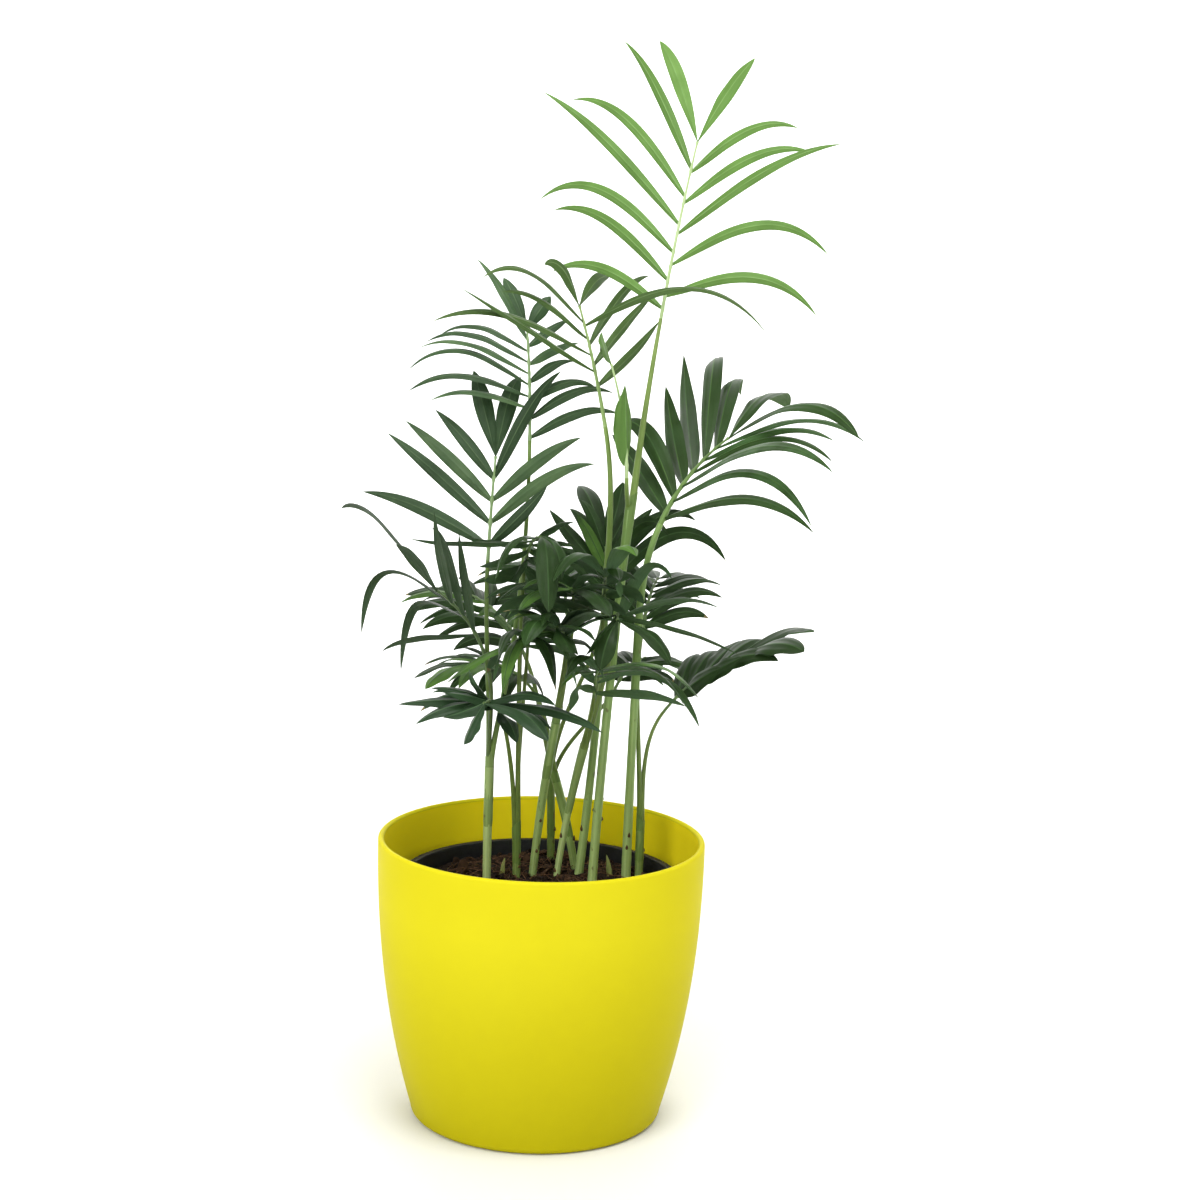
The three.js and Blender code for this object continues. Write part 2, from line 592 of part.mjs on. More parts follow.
const FINISH = {
  planter: { color: 0xe9e222, roughness: 0.42, metalness: 0 },
  nursery: { color: 0x17181a, roughness: 0.55, metalness: 0 },
  soil: { color: 0x3a2417, roughness: 0.95, metalness: 0 },
  stem: { color: 0x6f9a3d, roughness: 0.5, metalness: 0 },
  dark: { color: 0x1f3f22, roughness: 0.42, metalness: 0 },
  middle: { color: 0x3c6a2f, roughness: 0.45, metalness: 0 },
  light: { color: 0x6fae4b, roughness: 0.48, metalness: 0 },
};

/** Solids that a new leaflet has to keep clear of, with the part each belongs to. */
const placed = [];

function addMesh(name, geometry, finish) {
  const mesh = new THREE.Mesh(geometry, new THREE.MeshStandardMaterial(FINISH[finish]));
  mesh.name = name;
  palm.add(mesh);
}

function keepClear(owner, solid) {
  placed.push({ owner, solid, box: solid.boundingBox() });
}

function boxesMeet(one, other) {
  return [0, 1, 2].every((axis) => (
    one.min[axis] <= other.max[axis] && other.min[axis] <= one.max[axis]));
}

/** Whether a solid touches any placed solid that belongs to another part. */
function touches(owner, solid) {
  const box = solid.boundingBox();
  return placed.some((other) => (
    other.owner !== owner
    && boxesMeet(box, other.box)
    && !solid.intersect(other.solid).isEmpty()));
}

function addLimb(name, curve, radii, sides, steps) {
  const geometry = limb(curve, radii, sides, steps);
  keepClear(name, toSolid(geometry));
  addMesh(name, geometry, "stem");
}

addMesh("planter", planter(), "planter");
addMesh("nursery_pot", nurseryPot(), "nursery");
addMesh("soil", soil(), "soil");

for (const stem of STEMS) {
  addLimb(`stem_${stem.name}`, stemCurve(stem), stem.radii, LIMB_SIDES, STEM_STEPS);
}
for (const young of SHOOTS) {
  addMesh(`shoot_${young.name}`, shoot(young), "stem");
}
for (const frond of FRONDS) {
  addLimb(`stalk_${frond.name}`, stalkCurve(frond), frond.stalk, STALK_SIDES, STALK_STEPS);
}

const rachises = FRONDS.map((frond) => {
  const radii = [frond.stalk[1] * RACHIS_TAPER, RACHIS_TIP_RADIUS];
  const solid = toSolid(limb(rachisCurve(frond), radii, RACHIS_SIDES, RACHIS_STEPS));
  keepClear(`frond_${frond.name}`, solid);
  return solid;
});

FRONDS.forEach((frond, index) => {
  const name = `frond_${frond.name}`;
  const curve = rachisCurve(frond);
  let solid = rachises[index];
  const leaflets = [
    ...leafletRow(frond, curve, frond.left, -1),
    ...leafletRow(frond, curve, frond.right, 1),
  ];
  for (const leaflet of leaflets) {
    const tilt = TILTS.find((angle) => (
      !touches(name, toSolid(leafletGeometry(leaflet, angle, CLEARANCE)))));
    if (tilt !== undefined) {
      const leaf = toSolid(leafletGeometry(leaflet, tilt));
      keepClear(name, leaf);
      solid = solid.add(leaf);
    }
  }
  addMesh(name, toGeometry(solid), frond.tone ?? "dark");
});

export default palm;
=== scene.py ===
# A parlour palm in its pot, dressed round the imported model: fine leaflets, ribs, canes, soil and
# the two pots, with a floor, soft lights and the camera. Sizes are millimetres until a mesh is
# made, in the model's frame: +Z up, front towards -Y, origin under the middle of the planter.

import math
from collections import namedtuple
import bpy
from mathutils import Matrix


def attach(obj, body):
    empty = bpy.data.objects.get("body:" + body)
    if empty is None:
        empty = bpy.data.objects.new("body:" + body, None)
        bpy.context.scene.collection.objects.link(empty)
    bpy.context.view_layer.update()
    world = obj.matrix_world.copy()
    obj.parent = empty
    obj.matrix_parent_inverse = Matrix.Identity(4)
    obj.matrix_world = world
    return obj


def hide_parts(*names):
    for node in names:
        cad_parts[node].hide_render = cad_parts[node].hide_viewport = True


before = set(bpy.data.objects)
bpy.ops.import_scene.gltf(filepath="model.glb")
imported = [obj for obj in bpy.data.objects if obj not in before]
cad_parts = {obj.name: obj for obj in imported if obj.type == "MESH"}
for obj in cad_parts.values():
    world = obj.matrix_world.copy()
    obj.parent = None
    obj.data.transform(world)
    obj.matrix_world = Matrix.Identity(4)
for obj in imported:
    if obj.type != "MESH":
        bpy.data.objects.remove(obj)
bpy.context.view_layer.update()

from types import SimpleNamespace as Sizes

import bmesh
import bpy
import numpy as np
from mathutils import Matrix, Vector
from mathutils.bvhtree import BVHTree

BODY = "root"
MM = 0.001
TURN = 2 * math.pi
UP = np.array([0.0, 0.0, 1.0])
FRONT = np.array([0.0, -0.9, 0.44])

# ---- driving dimensions

SEAT = 0.3
PLANTER = Sizes(rim_radius=80, foot_radius=61, height=140, wall=3, floor=4, swell=2.24, foot_rounding=4)
NURSERY_POT = Sizes(rim_radius=69, top_radius=67, foot_radius=50, height=116, wall=1.6, floor=2,
                    rim_depth=5)
NURSERY_FOOT = PLANTER.floor + SEAT
NURSERY_FLOOR = NURSERY_FOOT + NURSERY_POT.floor
NURSERY_RIM = NURSERY_FOOT + NURSERY_POT.height
SOIL_TOP = 110

BEND = 2
FOOT_LEAN = 0.35
STALK_HOLD = (0.4, 0.3)
RACHIS_TAPER = 0.95
RACHIS_TIP_RADIUS = 0.5
END_BREADTH = 1.4
OUTLINE = Sizes(start=0.04, shoulder=0.8, taper=0.9)
END_OUTLINE = Sizes(start=0.04, shoulder=1.3, taper=0.8)

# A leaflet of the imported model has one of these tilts, or was left out. Its middle line is laid
# in steps, and its mesh has more rings where it is long.
TILTS = [0, 7, -7, 14, -14, 21, -21, 28, -28]
CAD_STEPS = 20
CAD_RINGS_LONG = 5
CAD_RINGS_SHORT = 4
LONG_LEAF = 60
CAD_MISS = 0.3

# Stems: foot on the soil, top, both radii, and the directions in degrees in which their stalks
# stand off the middle of the top.
Stem = namedtuple("Stem", "name foot top radii seats lean shade", defaults=[[], FOOT_LEAN, "green"])
# A stem's shade picks its cane colours: the pale set is painted light, the olive set painted shade.
STEMS = [
    Stem("left", [-27, 9], [-27, 9.5, 172], [2.4, 2.8], [-5, 115, 235], shade="pale"),
    Stem("left_inner", [-12.5, 19], [-13, 18, 134], [2.2, 2.5], [-30, 90, 210], shade="olive_painted_shade"),
    Stem("left_centre", [-5, 25], [5, 14, 194], [2, 2.4], [0, 180]),
    Stem("centre_back", [4, 46], [3, 45, 152], [2.2, 2.5], [-100, 140, 20], shade="olive_painted_shade"),
    Stem("centre", [7, 24], [18, 18, 176], [1.9, 2.3], [90, -30, 210], shade="pale"),
    Stem("centre_right", [17, 34], [6, 31, 160], [1.9, 2.3], [164, -16]),
    Stem("right_inner", [18, 27], [27.5, 24, 250], [2.3, 1.9], lean=0.8),
    Stem("right", [25, 11], [38, 19, 300], [2.4, 2.1], [0, 180]),
    Stem("far_right", [42, 22], [44, 15, 238], [2.5, 2]),
    Stem("right_back", [48.5, 24], [48.5, 24, 138], [2.1, 2.2], [150, -30], shade="olive_painted_shade"),
]

Shoot = namedtuple("Shoot", "name foot height radius lean")
SHOOTS = [Shoot("left", [-20, 20], 13, 1.7, [1.5, -1]), Shoot("right", [34, 24], 15, 1.9, [-2, -1])]

# Fronds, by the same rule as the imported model's: foot and tip of the rachis, its rise, breadth of
# the leaflets, radii of the stalk, and a left and a right row of leaflets. A row's values are read
# evenly along it, and it has as many leaflets as reaches.
Row = namedtuple("Row", "start spread lift reach droop breadth", defaults=[None])
Frond = namedtuple("Frond", "name stem foot tip rise breadth stalk left right roll shade hold bend",
                   defaults=[0, "deep", STALK_HOLD, BEND])
FRONDS = [
    Frond("top", "right", [50, 10, 394], [65, 30, 477], 1, 5.8, [1.9, 0.9],
        Row(0.05, [60, 51, 52, 50, 44, 34, 29], [-3, 3, 12, 3, 0], [70, 78, 87, 97, 86, 80, 60],
            [1, 0.9, 1.3, 0.4, 0.9, 0.5, 0.5]),
        Row(0.12, [60, 48, 42, 41, 38, 18], [-12, -6, -8, 0], [80, 84, 90, 69, 59, 49],
            [1.55, 1.5, 0.55, 0.9, 1, 0.4]), roll=-15, shade="spring"),
    Frond("young", "right", [36, 3, 318], [27, 3, 372], 2, 4.2, [1.2, 1],
        Row(0.1, [9, 4], [0], [40, 16], [0.1]),
        Row(0.2, [8, 4], [0], [30, 14], [0.1]), shade="spring", hold=[0.2, 0.5]),
    Frond("upper_left", "right_inner", [25, 5, 342], [11, 18, 398], 1, 5.4, [1.8, 1.1],
        Row(0.45, [60, 62, 50, 52, 22], [0, 0, 5, 15, 30], [88, 96, 56, 74, 30],
            [0.05, 0.8, 0.75, 1.1, 1.2]),
        Row(0.33, [64, 54, 48, 80, 50], [0, 3, 4, 72, 0], [60, 62, 68, 104, 36],
            [-0.3, 0.2, 0.65, 1.6, 0.8]), shade="fresh"),
    Frond("left_high", "left", [-11, 8, 334], [-14, 22, 386], 3, 5.4, [1.4, 0.9],
        Row(0.28, [69, 66, 54, 57, 56, 54, 22, 16], [-4], [50, 62, 66, 58, 54, 47, 50, 30],
            [0.9, 1.15, 1.5, 1, 1.1, 1.2, 0.5, 0.4]),
        Row(0.02, [58, 54, 58, 50, 58, 50, 34], [0], [48, 46, 36, 26, 28, 26, 22],
            [0.9, 1, 1.1, 0.5, 0.4, 0.2]), shade="middle", hold=[0.12, 0.6]),
    Frond("right", "far_right", [53, 4, 296], [85, 24, 336], 4, 5.8, [1.9, 1.5],
        Row(0.1, [62, 49, 53, 57, 38, 38, 23], [8, 44, 4, -9, 29, 18, 21], [74, 62, 72, 114, 118, 96, 70],
            [0.2, 1.25, -0.4, -0.5, 1.6, 1.3, 1.35], breadth=7.8),
        Row(0.05, [69, 64, 71, 37, 42, 40, 70], [6, 13, 19, 0, 4, 4, 24], [113, 112, 134, 77, 70, 79, 98],
            [0.9, 1.45, 0.85, 1.4, 1, 1.2, 1.25]), shade="right"),
    Frond("left_mid", "left", [-29, -10, 278], [-27, 4, 326], 1, 6.8, [1.4, 1],
        Row(0.13, [62, 50, 48, 40, 18], [0], [69, 68, 59, 46, 45], [0.44, 0.15, 0.18, 0.3, 0.2]),
        Row(0.14, [44, 45, 44, 22, 6], [0], [40, 59, 53, 62, 46], [-0.2, 0.7, 0.45, 0.65, 0.9]),
        shade="cool"),
    Frond("heart_left", "left_inner", [-12, -1, 271], [-4, -24, 292], 5, 6.8, [1.4, 1],
        Row(0.1, [134, 100, 43, 16], [-24, 0, 29, -9], [34, 32, 24, 30], [-0.2, 0.5, 0.65, 5]),
        Row(0.1, [103, 93, 87, 9], [-22, -20, -3, -7], [24, 28, 62, 51], [-0.4, -0.1, -0.2, 5.7]),
        hold=[0.4, 0.1]),
    Frond("heart_mid", "centre", [27, 0, 257], [27.5, -26, 275], 4, 8, [1.3, 1],
        Row(0.15, [53, 35, 32, 60], [-2, 15, 60, 70], [24, 24, 29, 32], [1.9, 1.4, 4.5, 1.6]),
        Row(0.1, [61, 77, 49], [-5, 43, 44], [43, 33, 48], [-0.5, 1.85, 2.1])),
    Frond("heart_front", "left_centre", [12.5, 3, 252], [11, -20, 267], 4, 7.4, [1.3, 1],
        Row(0.2, [60, 55, 35], [5, 10, 15], [34, 36, 40], [1.6, 1.4, 1.2]),
        Row(0.1, [70, 62, 50, 35], [0, 5, 10, 15], [42, 46, 44, 40], [1.4, 1.2, 1.3, 1.1]),
        hold=[0.4, 0.1]),
    Frond("heart_back", "centre_back", [27, 34, 250.5], [27, 50, 276.5], 2, 8, [1.2, 1],
        Row(0.23, [42, 40, 24, 14], [0], [38, 45, 40, 54], [0.7, 0, 0.65, 0.75]),
        Row(0.2, [44, 35, 34, 13], [29, 18, 1, -2], [78, 64, 40, 40], [1.8, 1.3, 0.2, -0.6])),
    Frond("centre_front", "left_centre", [9, 8, 232], [5, -30, 250], 5, 7, [1.2, 0.9],
        Row(0.15, [38, 24, 24, 16], [-33, 7, 0, -7], [49, 62, 55, 46], [1.8, 0.5, 0.5, 0.1]),
        Row(0.15, [26, 20, 30, 35], [-3, 6, 30, 60], [40, 60, 46, 38], [1.5, 0.5, 1, 2]),
        hold=[0.4, 0.1]),
    Frond("heart_right", "centre", [33.5, 4, 244], [33.5, -30, 254.5], 5, 7.4, [1.4, 1],
        Row(0.1, [48, 53, 66, 68, 63], [66, 27, 7, -5, -3], [48, 58, 60, 63, 35],
            [1.6, 0.8, -0.2, 0.4, 1.8]),
        Row(0.2, [54, 75, 59, 30], [16, -11, -50, -40], [49, 33, 27, 28], [0.05, 1.5, 0.1, 2.5]),
        hold=[0.4, 0.1]),
    Frond("back_right", "right_back", [46, 34, 234], [54, 70, 258], 5, 6.4, [1.3, 1],
        Row(0.12, [58, 52, 46, 38, 22], [2], [42, 52, 54, 48, 38], [1, 1.1, 0.9]),
        Row(0.12, [54, 48, 42, 36, 22], [2], [36, 44, 46, 42, 36], [1.1, 1, 1])),
    Frond("back_centre", "centre_back", [9, 60, 236], [2, 100, 258], 6, 7, [1.2, 1],
        Row(0.12, [66, 58, 50, 40, 22], [2], [44, 54, 54, 48, 40], [1, 1.1, 0.9]),
        Row(0.12, [66, 58, 50, 40, 22], [2], [44, 54, 54, 48, 38], [1.1, 1, 1])),
    Frond("far_left", "left", [-30, -6, 232], [-52, -20, 264], 3, 5.4, [1.2, 1],
        Row(0.28, [22, 24, 42, 24], [-2, 0, -23, -5], [59, 70, 86, 46], [-0.6, 1, -0.6, 0.5]),
        Row(0.26, [79, 80, 52, 67], [-7, 31, 32, 53], [52, 82, 78, 90], [0.7, 11.5, 10.5, 1]),
        roll=-30, shade="grey", bend=4),
    Frond("back_left", "centre_right", [-12, 42, 222], [-42, 66, 248], 5, 7, [1.4, 1],
        Row(0.12, [66, 58, 50, 40, 22], [2], [42, 50, 50, 44, 36], [1, 1.1, 0.9]),
        Row(0.12, [66, 58, 50, 40, 22], [2], [42, 50, 50, 44, 34], [1.1, 1, 1])),
    Frond("low_centre", "centre_right", [-8, 30, 208], [-36, 19, 222], 4, 7, [1.2, 0.9],
        Row(0.15, [72, 60, 46, 24], [0, 4], [40, 46, 42, 34], [1.4, 1.2, 1, 1]),
        Row(0.15, [66, 56, 44, 24], [2], [36, 42, 40, 32], [1.1, 1, 1])),
    Frond("low_hanging", "left_inner", [-9.5, 6, 231], [-7.5, -20, 243], 4, 7.4, [1.2, 0.9],
        Row(0.15, [60, 26, 24, 67], [-20, 0, -7, 58], [40, 56, 42, 30], [1.5, 3, 4, 2.3]),
        Row(0.15, [54, 22, 26, 82], [-14, -15, 15, 5], [31, 54, 45, 46], [2.9, 3, 3.6, 0.8])),
    Frond("low_middle", "centre", [23.5, 2, 210.5], [25, -28, 230], 3, 7, [1.3, 0.9],
        Row(0.1, [71, 86, 59], [-10, 14, 29], [47, 65, 58], [0.6, 2.9, 1.6]),
        Row(0.1, [30, 56, 45], [-6, 14, 37], [27, 39, 32], [3.6, 1, 2.3])),
    Frond("low_left", "left_inner", [-21.5, -4, 202], [-28, -34, 213.5], 3, 7.2, [1.3, 0.9],
        Row(0.05, [66, 72, 59], [-43, -2, 7], [22, 62, 46], [1.5, 0.55, 1.15]),
        Row(0.2, [13, 74, 54, 51, 53, 71], [2, 27, -6, -10, -28, -60], [37, 40, 48, 40, 24, 22],
            [-0.6, 1.5, 0.25, 0.7, -0.2, 1.15]), shade="painted_sheen"),
    Frond("low_right", "right_back", [58.5, 30, 198], [93.5, 34, 225.5], 3, 7.2, [1.3, 0.9],
        Row(0, [58, 43, 42, 40, 38, 30], [34, 20, 15, 6, 7, 12], [32, 38, 36, 34, 38, 56],
            [0.6, 0.9, 0.9, 0.4, 0.7, 0.9]),
        Row(0, [84, 32, 35, 34, 42], [54, 6, 0, 10, 20], [34, 30, 30, 38, 44], [1.7, 0.35, 0, 0.9, 0.9])),
    Frond("low_back", "centre_back", [34, 52, 204], [52, 84, 214], 5, 6.4, [1.1, 0.9],
        Row(0.15, [60, 52, 42, 22], [2], [34, 42, 42, 34], [1, 1.1, 0.9]),
        Row(0.15, [58, 48, 38, 22], [2], [30, 36, 36, 32], [1.1, 1, 1])),
]

# Fronds of the dense middle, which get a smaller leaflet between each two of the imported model's
# where there is room for it, and how far it keeps from every other leaflet's middle line.
DENSE = ["heart_left", "heart_front", "heart_back", "centre_front", "low_hanging", "low_centre",
         "low_left", "low_middle", "back_left", "back_centre", "back_right", "low_back"]
EXTRA_SIZE = 0.85
EXTRA_TILTS = np.linspace(-34, 34, 9)
ROOM = 3.0

# How broad the blades of a frond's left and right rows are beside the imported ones, and how far
# they turn their faces to the sky, or to the front where the number is below 0.
BLADES = {
    "top": [(0.92, 0)] * 2,
    "young": [(2.6, -0.6)] * 2,
    "upper_left": [(0.9, 0.35), (0.9, 0.15)],
    "left_high": [(0.95, 0.62), (1.0, 0.4)],
    "left_mid": [(0.97, 0)] * 2,
    "far_left": [(0.9, 0.4)] * 2,
    "right": [(1.3, -0.3), (1.1, 0.2)],
    "heart_right": [(0.95, 0)] * 2,
    "heart_back": [(0.95, 0)] * 2,
    "centre_front": [(1.05, 0)] * 2,
    "low_left": [(1.25, -0.5)] * 2,
    "low_right": [(1.6, -0.5)] * 2,
}
DEEP_BLADES = [(1.12, 0)] * 2

# Fine meshes
CURVE_STEPS = 240
ROUND_SIDES = 160
CANE_SIDES = 24
SHOOT_SIDES = 16
RIB_SIDES = 14
RIB_RINGS = 60
LEAF_STEPS = 40
LEAF_RINGS = 28
HALF_SECTION = [0, 0.07, 0.18, 0.34, 0.52, 0.7, 0.87, 1]

# ---- small helpers


def unit(vector):
    """A vector, or each of several, made one long."""
    vector = np.asarray(vector, float)
    return vector / np.linalg.norm(vector, axis=-1, keepdims=True)


def across_way(vector, way):
    """The part of a vector square to a unit direction, made one long."""
    return unit(vector - way * np.dot(vector, way))


def heading(angle, rise=0.0):
    """Direction at an angle from +X, level unless it rises."""
    return np.array([math.cos(angle), math.sin(angle), rise])


def along(values, fraction):
    """Value at a fraction of a list that is read evenly."""
    return float(np.interp(fraction * (len(values) - 1), range(len(values)), values))


def mix(low, high, share):
    return low + (high - low) * share


def smooth(low, high, value):
    """0 below low, 1 above high, and a soft step between."""
    share = np.clip((value - low) / (high - low), 0, 1)
    return share * share * (3 - 2 * share)


def bump(value, centre, width):
    """A rounded hill of height 1 at a centre."""
    return np.exp(-((value - centre) / width) ** 2)


def read_at(wanted, places, rows):
    """Rows that stand at rising places, read at the wanted ones."""
    return np.stack([np.interp(wanted, places, column) for column in rows.T], axis=1)


def curve_point(controls, place):
    """Point of a Bezier curve, by mixing its control points down to one."""
    points = [np.asarray(control, float) for control in controls]
    while len(points) > 1:
        points = [mix(one, other, place) for one, other in zip(points, points[1:])]
    return points[0]


def curve_way(controls, place):
    return unit(curve_point(np.diff(controls, axis=0), place))


def path_lengths(path):
    """How far along a path each of its points lies."""
    return np.concatenate([[0], np.cumsum(np.linalg.norm(np.diff(path, axis=0), axis=1))])


def curve_path(controls, count):
    """Points evenly spaced by length along a Bezier curve."""
    fine = np.array([curve_point(controls, place) for place in np.linspace(0, 1, CURVE_STEPS + 1)])
    gone = path_lengths(fine)
    return read_at(np.linspace(0, gone[-1], count), gone, fine)


def around(sides):
    return np.arange(sides) * TURN / sides


def sweep(path, radii, sides, first_side=(1, 0, 0)):
    """Rings of points round a path, with a radius for each ring or for each point."""
    ways = unit(np.gradient(path, axis=0))
    angles = around(sides)
    radii = np.broadcast_to(np.asarray(radii, float).reshape(len(path), -1), (len(path), sides))
    side = np.asarray(first_side, float)
    rings = []
    for centre, way, radius in zip(path, ways, radii):
        side = across_way(side, way)
        other = np.cross(way, side)
        rings.append(centre + np.outer(np.cos(angles) * radius, side)
                     + np.outer(np.sin(angles) * radius, other))
    return np.array(rings)


def turned(profile, sides=ROUND_SIDES):
    """Rings about the vertical axis from [radius, height] points."""
    circle = np.array([heading(angle) for angle in around(sides)])
    return np.array([circle * radius + UP * height for radius, height in profile])


def arc(centre, radius, start, end, steps):
    """[radius, height] points on an arc, in degrees from outward, turning up."""
    angles = np.radians(np.linspace(start, end, steps))
    return [[centre[0] + radius * math.cos(angle), centre[1] + radius * math.sin(angle)]
            for angle in angles]


def grain_places(sides, gone, repeats=4):
    """Flat places for the grain of a limb: round it, and in centimetres along it."""
    turn = around(sides)[None, :] / TURN * repeats
    return np.stack(np.broadcast_arrays(turn, np.asarray(gone)[:, None] / 10), axis=-1)


def placed(name, data):
    made = bpy.data.objects.new(name, data)
    bpy.context.scene.collection.objects.link(made)
    return made


class Shape:
    """Points and faces gathered for one piece, with a finish number for each face."""

    def __init__(self):
        self.points = []
        self.faces = []
        self.finishes = []
        self.places = []
        self.count = 0

    def add(self, points, faces, finish=0, places=None):
        self.points.append(points)
        self.faces.extend((np.asarray(faces) + self.count).tolist())
        self.finishes.extend(np.broadcast_to(finish, len(faces)).tolist())
        self.places.append(np.zeros((len(points), 2)) if places is None else places)
        self.count += len(points)

    def add_tube(self, rings, finish=0, places=None, open_top=False):
        """A skin over rings, with a flat face on either end."""
        steps, sides, _ = rings.shape
        corner = np.arange(steps * sides).reshape(steps, sides)
        beside = np.roll(corner, -1, axis=1)
        quads = np.stack([corner[:-1], beside[:-1], beside[1:], corner[1:]], axis=-1)
        finish = np.broadcast_to(finish, (steps - 1, sides))
        first = self.count
        self.add(rings.reshape(-1, 3), quads.reshape(-1, 4), finish.reshape(-1),
                 None if places is None else places.reshape(-1, 2))
        self.faces.append((corner[0][::-1] + first).tolist())
        self.finishes.append(int(finish[0, 0]))
        if not open_top:
            self.faces.append((corner[-1] + first).tolist())
            self.finishes.append(int(finish[-1, 0]))

    def made(self, name, materials, crease):
        """The object, in metres, with its edges sharp above the angle of the crease."""
        mesh = bpy.data.meshes.new(name)
        mesh.from_pydata((np.concatenate(self.points) * MM).tolist(), [], self.faces)
        for material in materials:
            mesh.materials.append(material)
        mesh.polygons.foreach_set("material_index", np.array(self.finishes, np.int32))
        mesh.shade_smooth()
        mesh.set_sharp_from_angle(angle=math.radians(crease))
        corners = np.empty(len(mesh.loops), np.int32)
        mesh.loops.foreach_get("vertex_index", corners)
        flat = np.concatenate(self.places)[corners]
        mesh.uv_layers.new(name="grain").data.foreach_set("uv", flat.reshape(-1).astype(np.float32))
        mesh.update()
        return placed(name, mesh)

    def dress(self, name, node, materials, crease=50):
        """The object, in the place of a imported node."""
        made = self.made(name, materials, crease)
        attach(made, BODY)
        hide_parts(node)


# ---- materials


def paint(text):
    """Linear colour from six hexadecimal digits."""
    parts = [part / 255 for part in bytes.fromhex(text)]
    linear = [part / 12.92 if part <= 0.04045 else ((part + 0.055) / 1.055) ** 2.4 for part in parts]
    return (*linear, 1.0)


def halfway(one, other):
    """Six hexadecimal digits of the colour halfway between two."""
    return bytes((a + b) // 2 for a, b in zip(bytes.fromhex(one), bytes.fromhex(other))).hex()


def paler(text, share):
    return (*[min(1.0, part * (1 + share)) for part in paint(text)[:3]], 1.0)


class Finish:
    """A material whose nodes are laid by short calls."""

    def __init__(self, name, roughness, specular):
        self.material = bpy.data.materials.new(name)
        self.material.use_nodes = True
        self.tree = self.material.node_tree
        self.shader = self.tree.nodes["Principled BSDF"]
        self.put(self.shader.inputs["Roughness"], roughness)
        self.put(self.shader.inputs["Specular IOR Level"], specular)

    def put(self, socket, value):
        """Links another node's output to a socket, or sets its value."""
        if isinstance(value, bpy.types.NodeSocket):
            self.tree.links.new(value, socket)
        else:
            socket.default_value = value

    def node(self, kind, **values):
        """A node with its sockets filled; _ stands for a space in their names."""
        made = self.tree.nodes.new(f"ShaderNode{kind}")
        for name, value in values.items():
            self.put(made.inputs[name.replace("_", " ")], value)
        return made

    def out(self, kind, output, **values):
        return self.node(kind, **values).outputs[output]

    def spots(self, source, scale, stretch=(1, 1, 1), detail=2.0):
        """Noise from 0 to 1 in object or grain coordinates."""
        place = self.out("Mapping", "Vector", Vector=self.out("TexCoord", source), Scale=stretch)
        return self.out("TexNoise", "Fac", Vector=place, Scale=scale, Detail=detail)

    def spread(self, value, low, high, new_low=0.0, new_high=1.0):
        """A value's range widened, and held, to another."""
        return self.out("MapRange", "Result", Value=value, From_Min=low, From_Max=high,
                        To_Min=new_low, To_Max=new_high)

    def height(self):
        """Height above the planter's underside, in metres."""
        return self.out("SeparateXYZ", "Z", Vector=self.out("TexCoord", "Object"))

    def blend(self, value, span, low, high):
        """One colour turning into another as a value crosses a span."""
        blended = self.node("Mix")
        blended.data_type = "RGBA"
        self.put(blended.inputs["Factor"], self.spread(value, *span))
        for name, colour in (("A", low), ("B", high)):
            socket = [s for s in blended.inputs if s.name == name and s.type == "RGBA"][0]
            self.put(socket, paint(colour) if isinstance(colour, str) else colour)
        return [s for s in blended.outputs if s.type == "RGBA"][0]

    def made(self, colour, gloss, relief):
        """The material: its colour, wandering roughness and bump, whose depth is in metres."""
        self.put(self.shader.inputs["Base Color"], colour)
        source, low, high = gloss
        self.put(self.shader.inputs["Roughness"], self.spread(source, 0.3, 0.7, low, high))
        source, depth, strength = relief
        dents = self.out("Bump", "Normal", Height=source, Distance=depth, Strength=strength)
        self.put(self.shader.inputs["Normal"], dents)
        return self.material


# A leaf has veins and a stalk has fibres, over faint clouds of tone: how far these lines are
# stretched and how fine they are, where they begin and how strong and pale they get.
LEAF = Sizes(specular=0.15, stretch=(14, 0.6, 1), detail=2.0, lines=(0.45, 0.75, 0, 0.35), pale=0.35,
             relief=(0.00012, 0.35), clouds=55, tones=(0.38, 0.66), gloss=(-0.05, 0.07))
STALK = Sizes(specular=0.35, stretch=(9, 0.25, 1), detail=3.0, lines=(0.42, 0.72, 0, 0.4), pale=0.3,
              relief=(0.0001, 0.4), clouds=60, tones=(0.35, 0.68), gloss=(-0.07, 0.07))


def green_finish(name, base, deep, kind, roughness=0.45):
    finish = Finish(name, roughness, kind.specular)
    lines = finish.spots("UV", 1.0, kind.stretch, kind.detail)
    clouds = finish.spots("Object", kind.clouds)
    toned = finish.blend(clouds, kind.tones, base, deep)
    lined = finish.blend(lines, kind.lines, toned, paler(base, kind.pale))
    least, most = kind.gloss
    return finish.made(lined, (clouds, roughness + least, roughness + most), (lines, *kind.relief))


def plain_finish(name, base, deep, roughness, scale=400, depth=0.0001, specular=0.4):
    finish = Finish(name, roughness, specular)
    grain = finish.spots("Object", scale, detail=3.0)
    toned = finish.blend(grain, (0.35, 0.68), base, deep)
    return finish.made(toned, (grain, roughness - 0.05, roughness + 0.06), (grain, depth, 0.6))


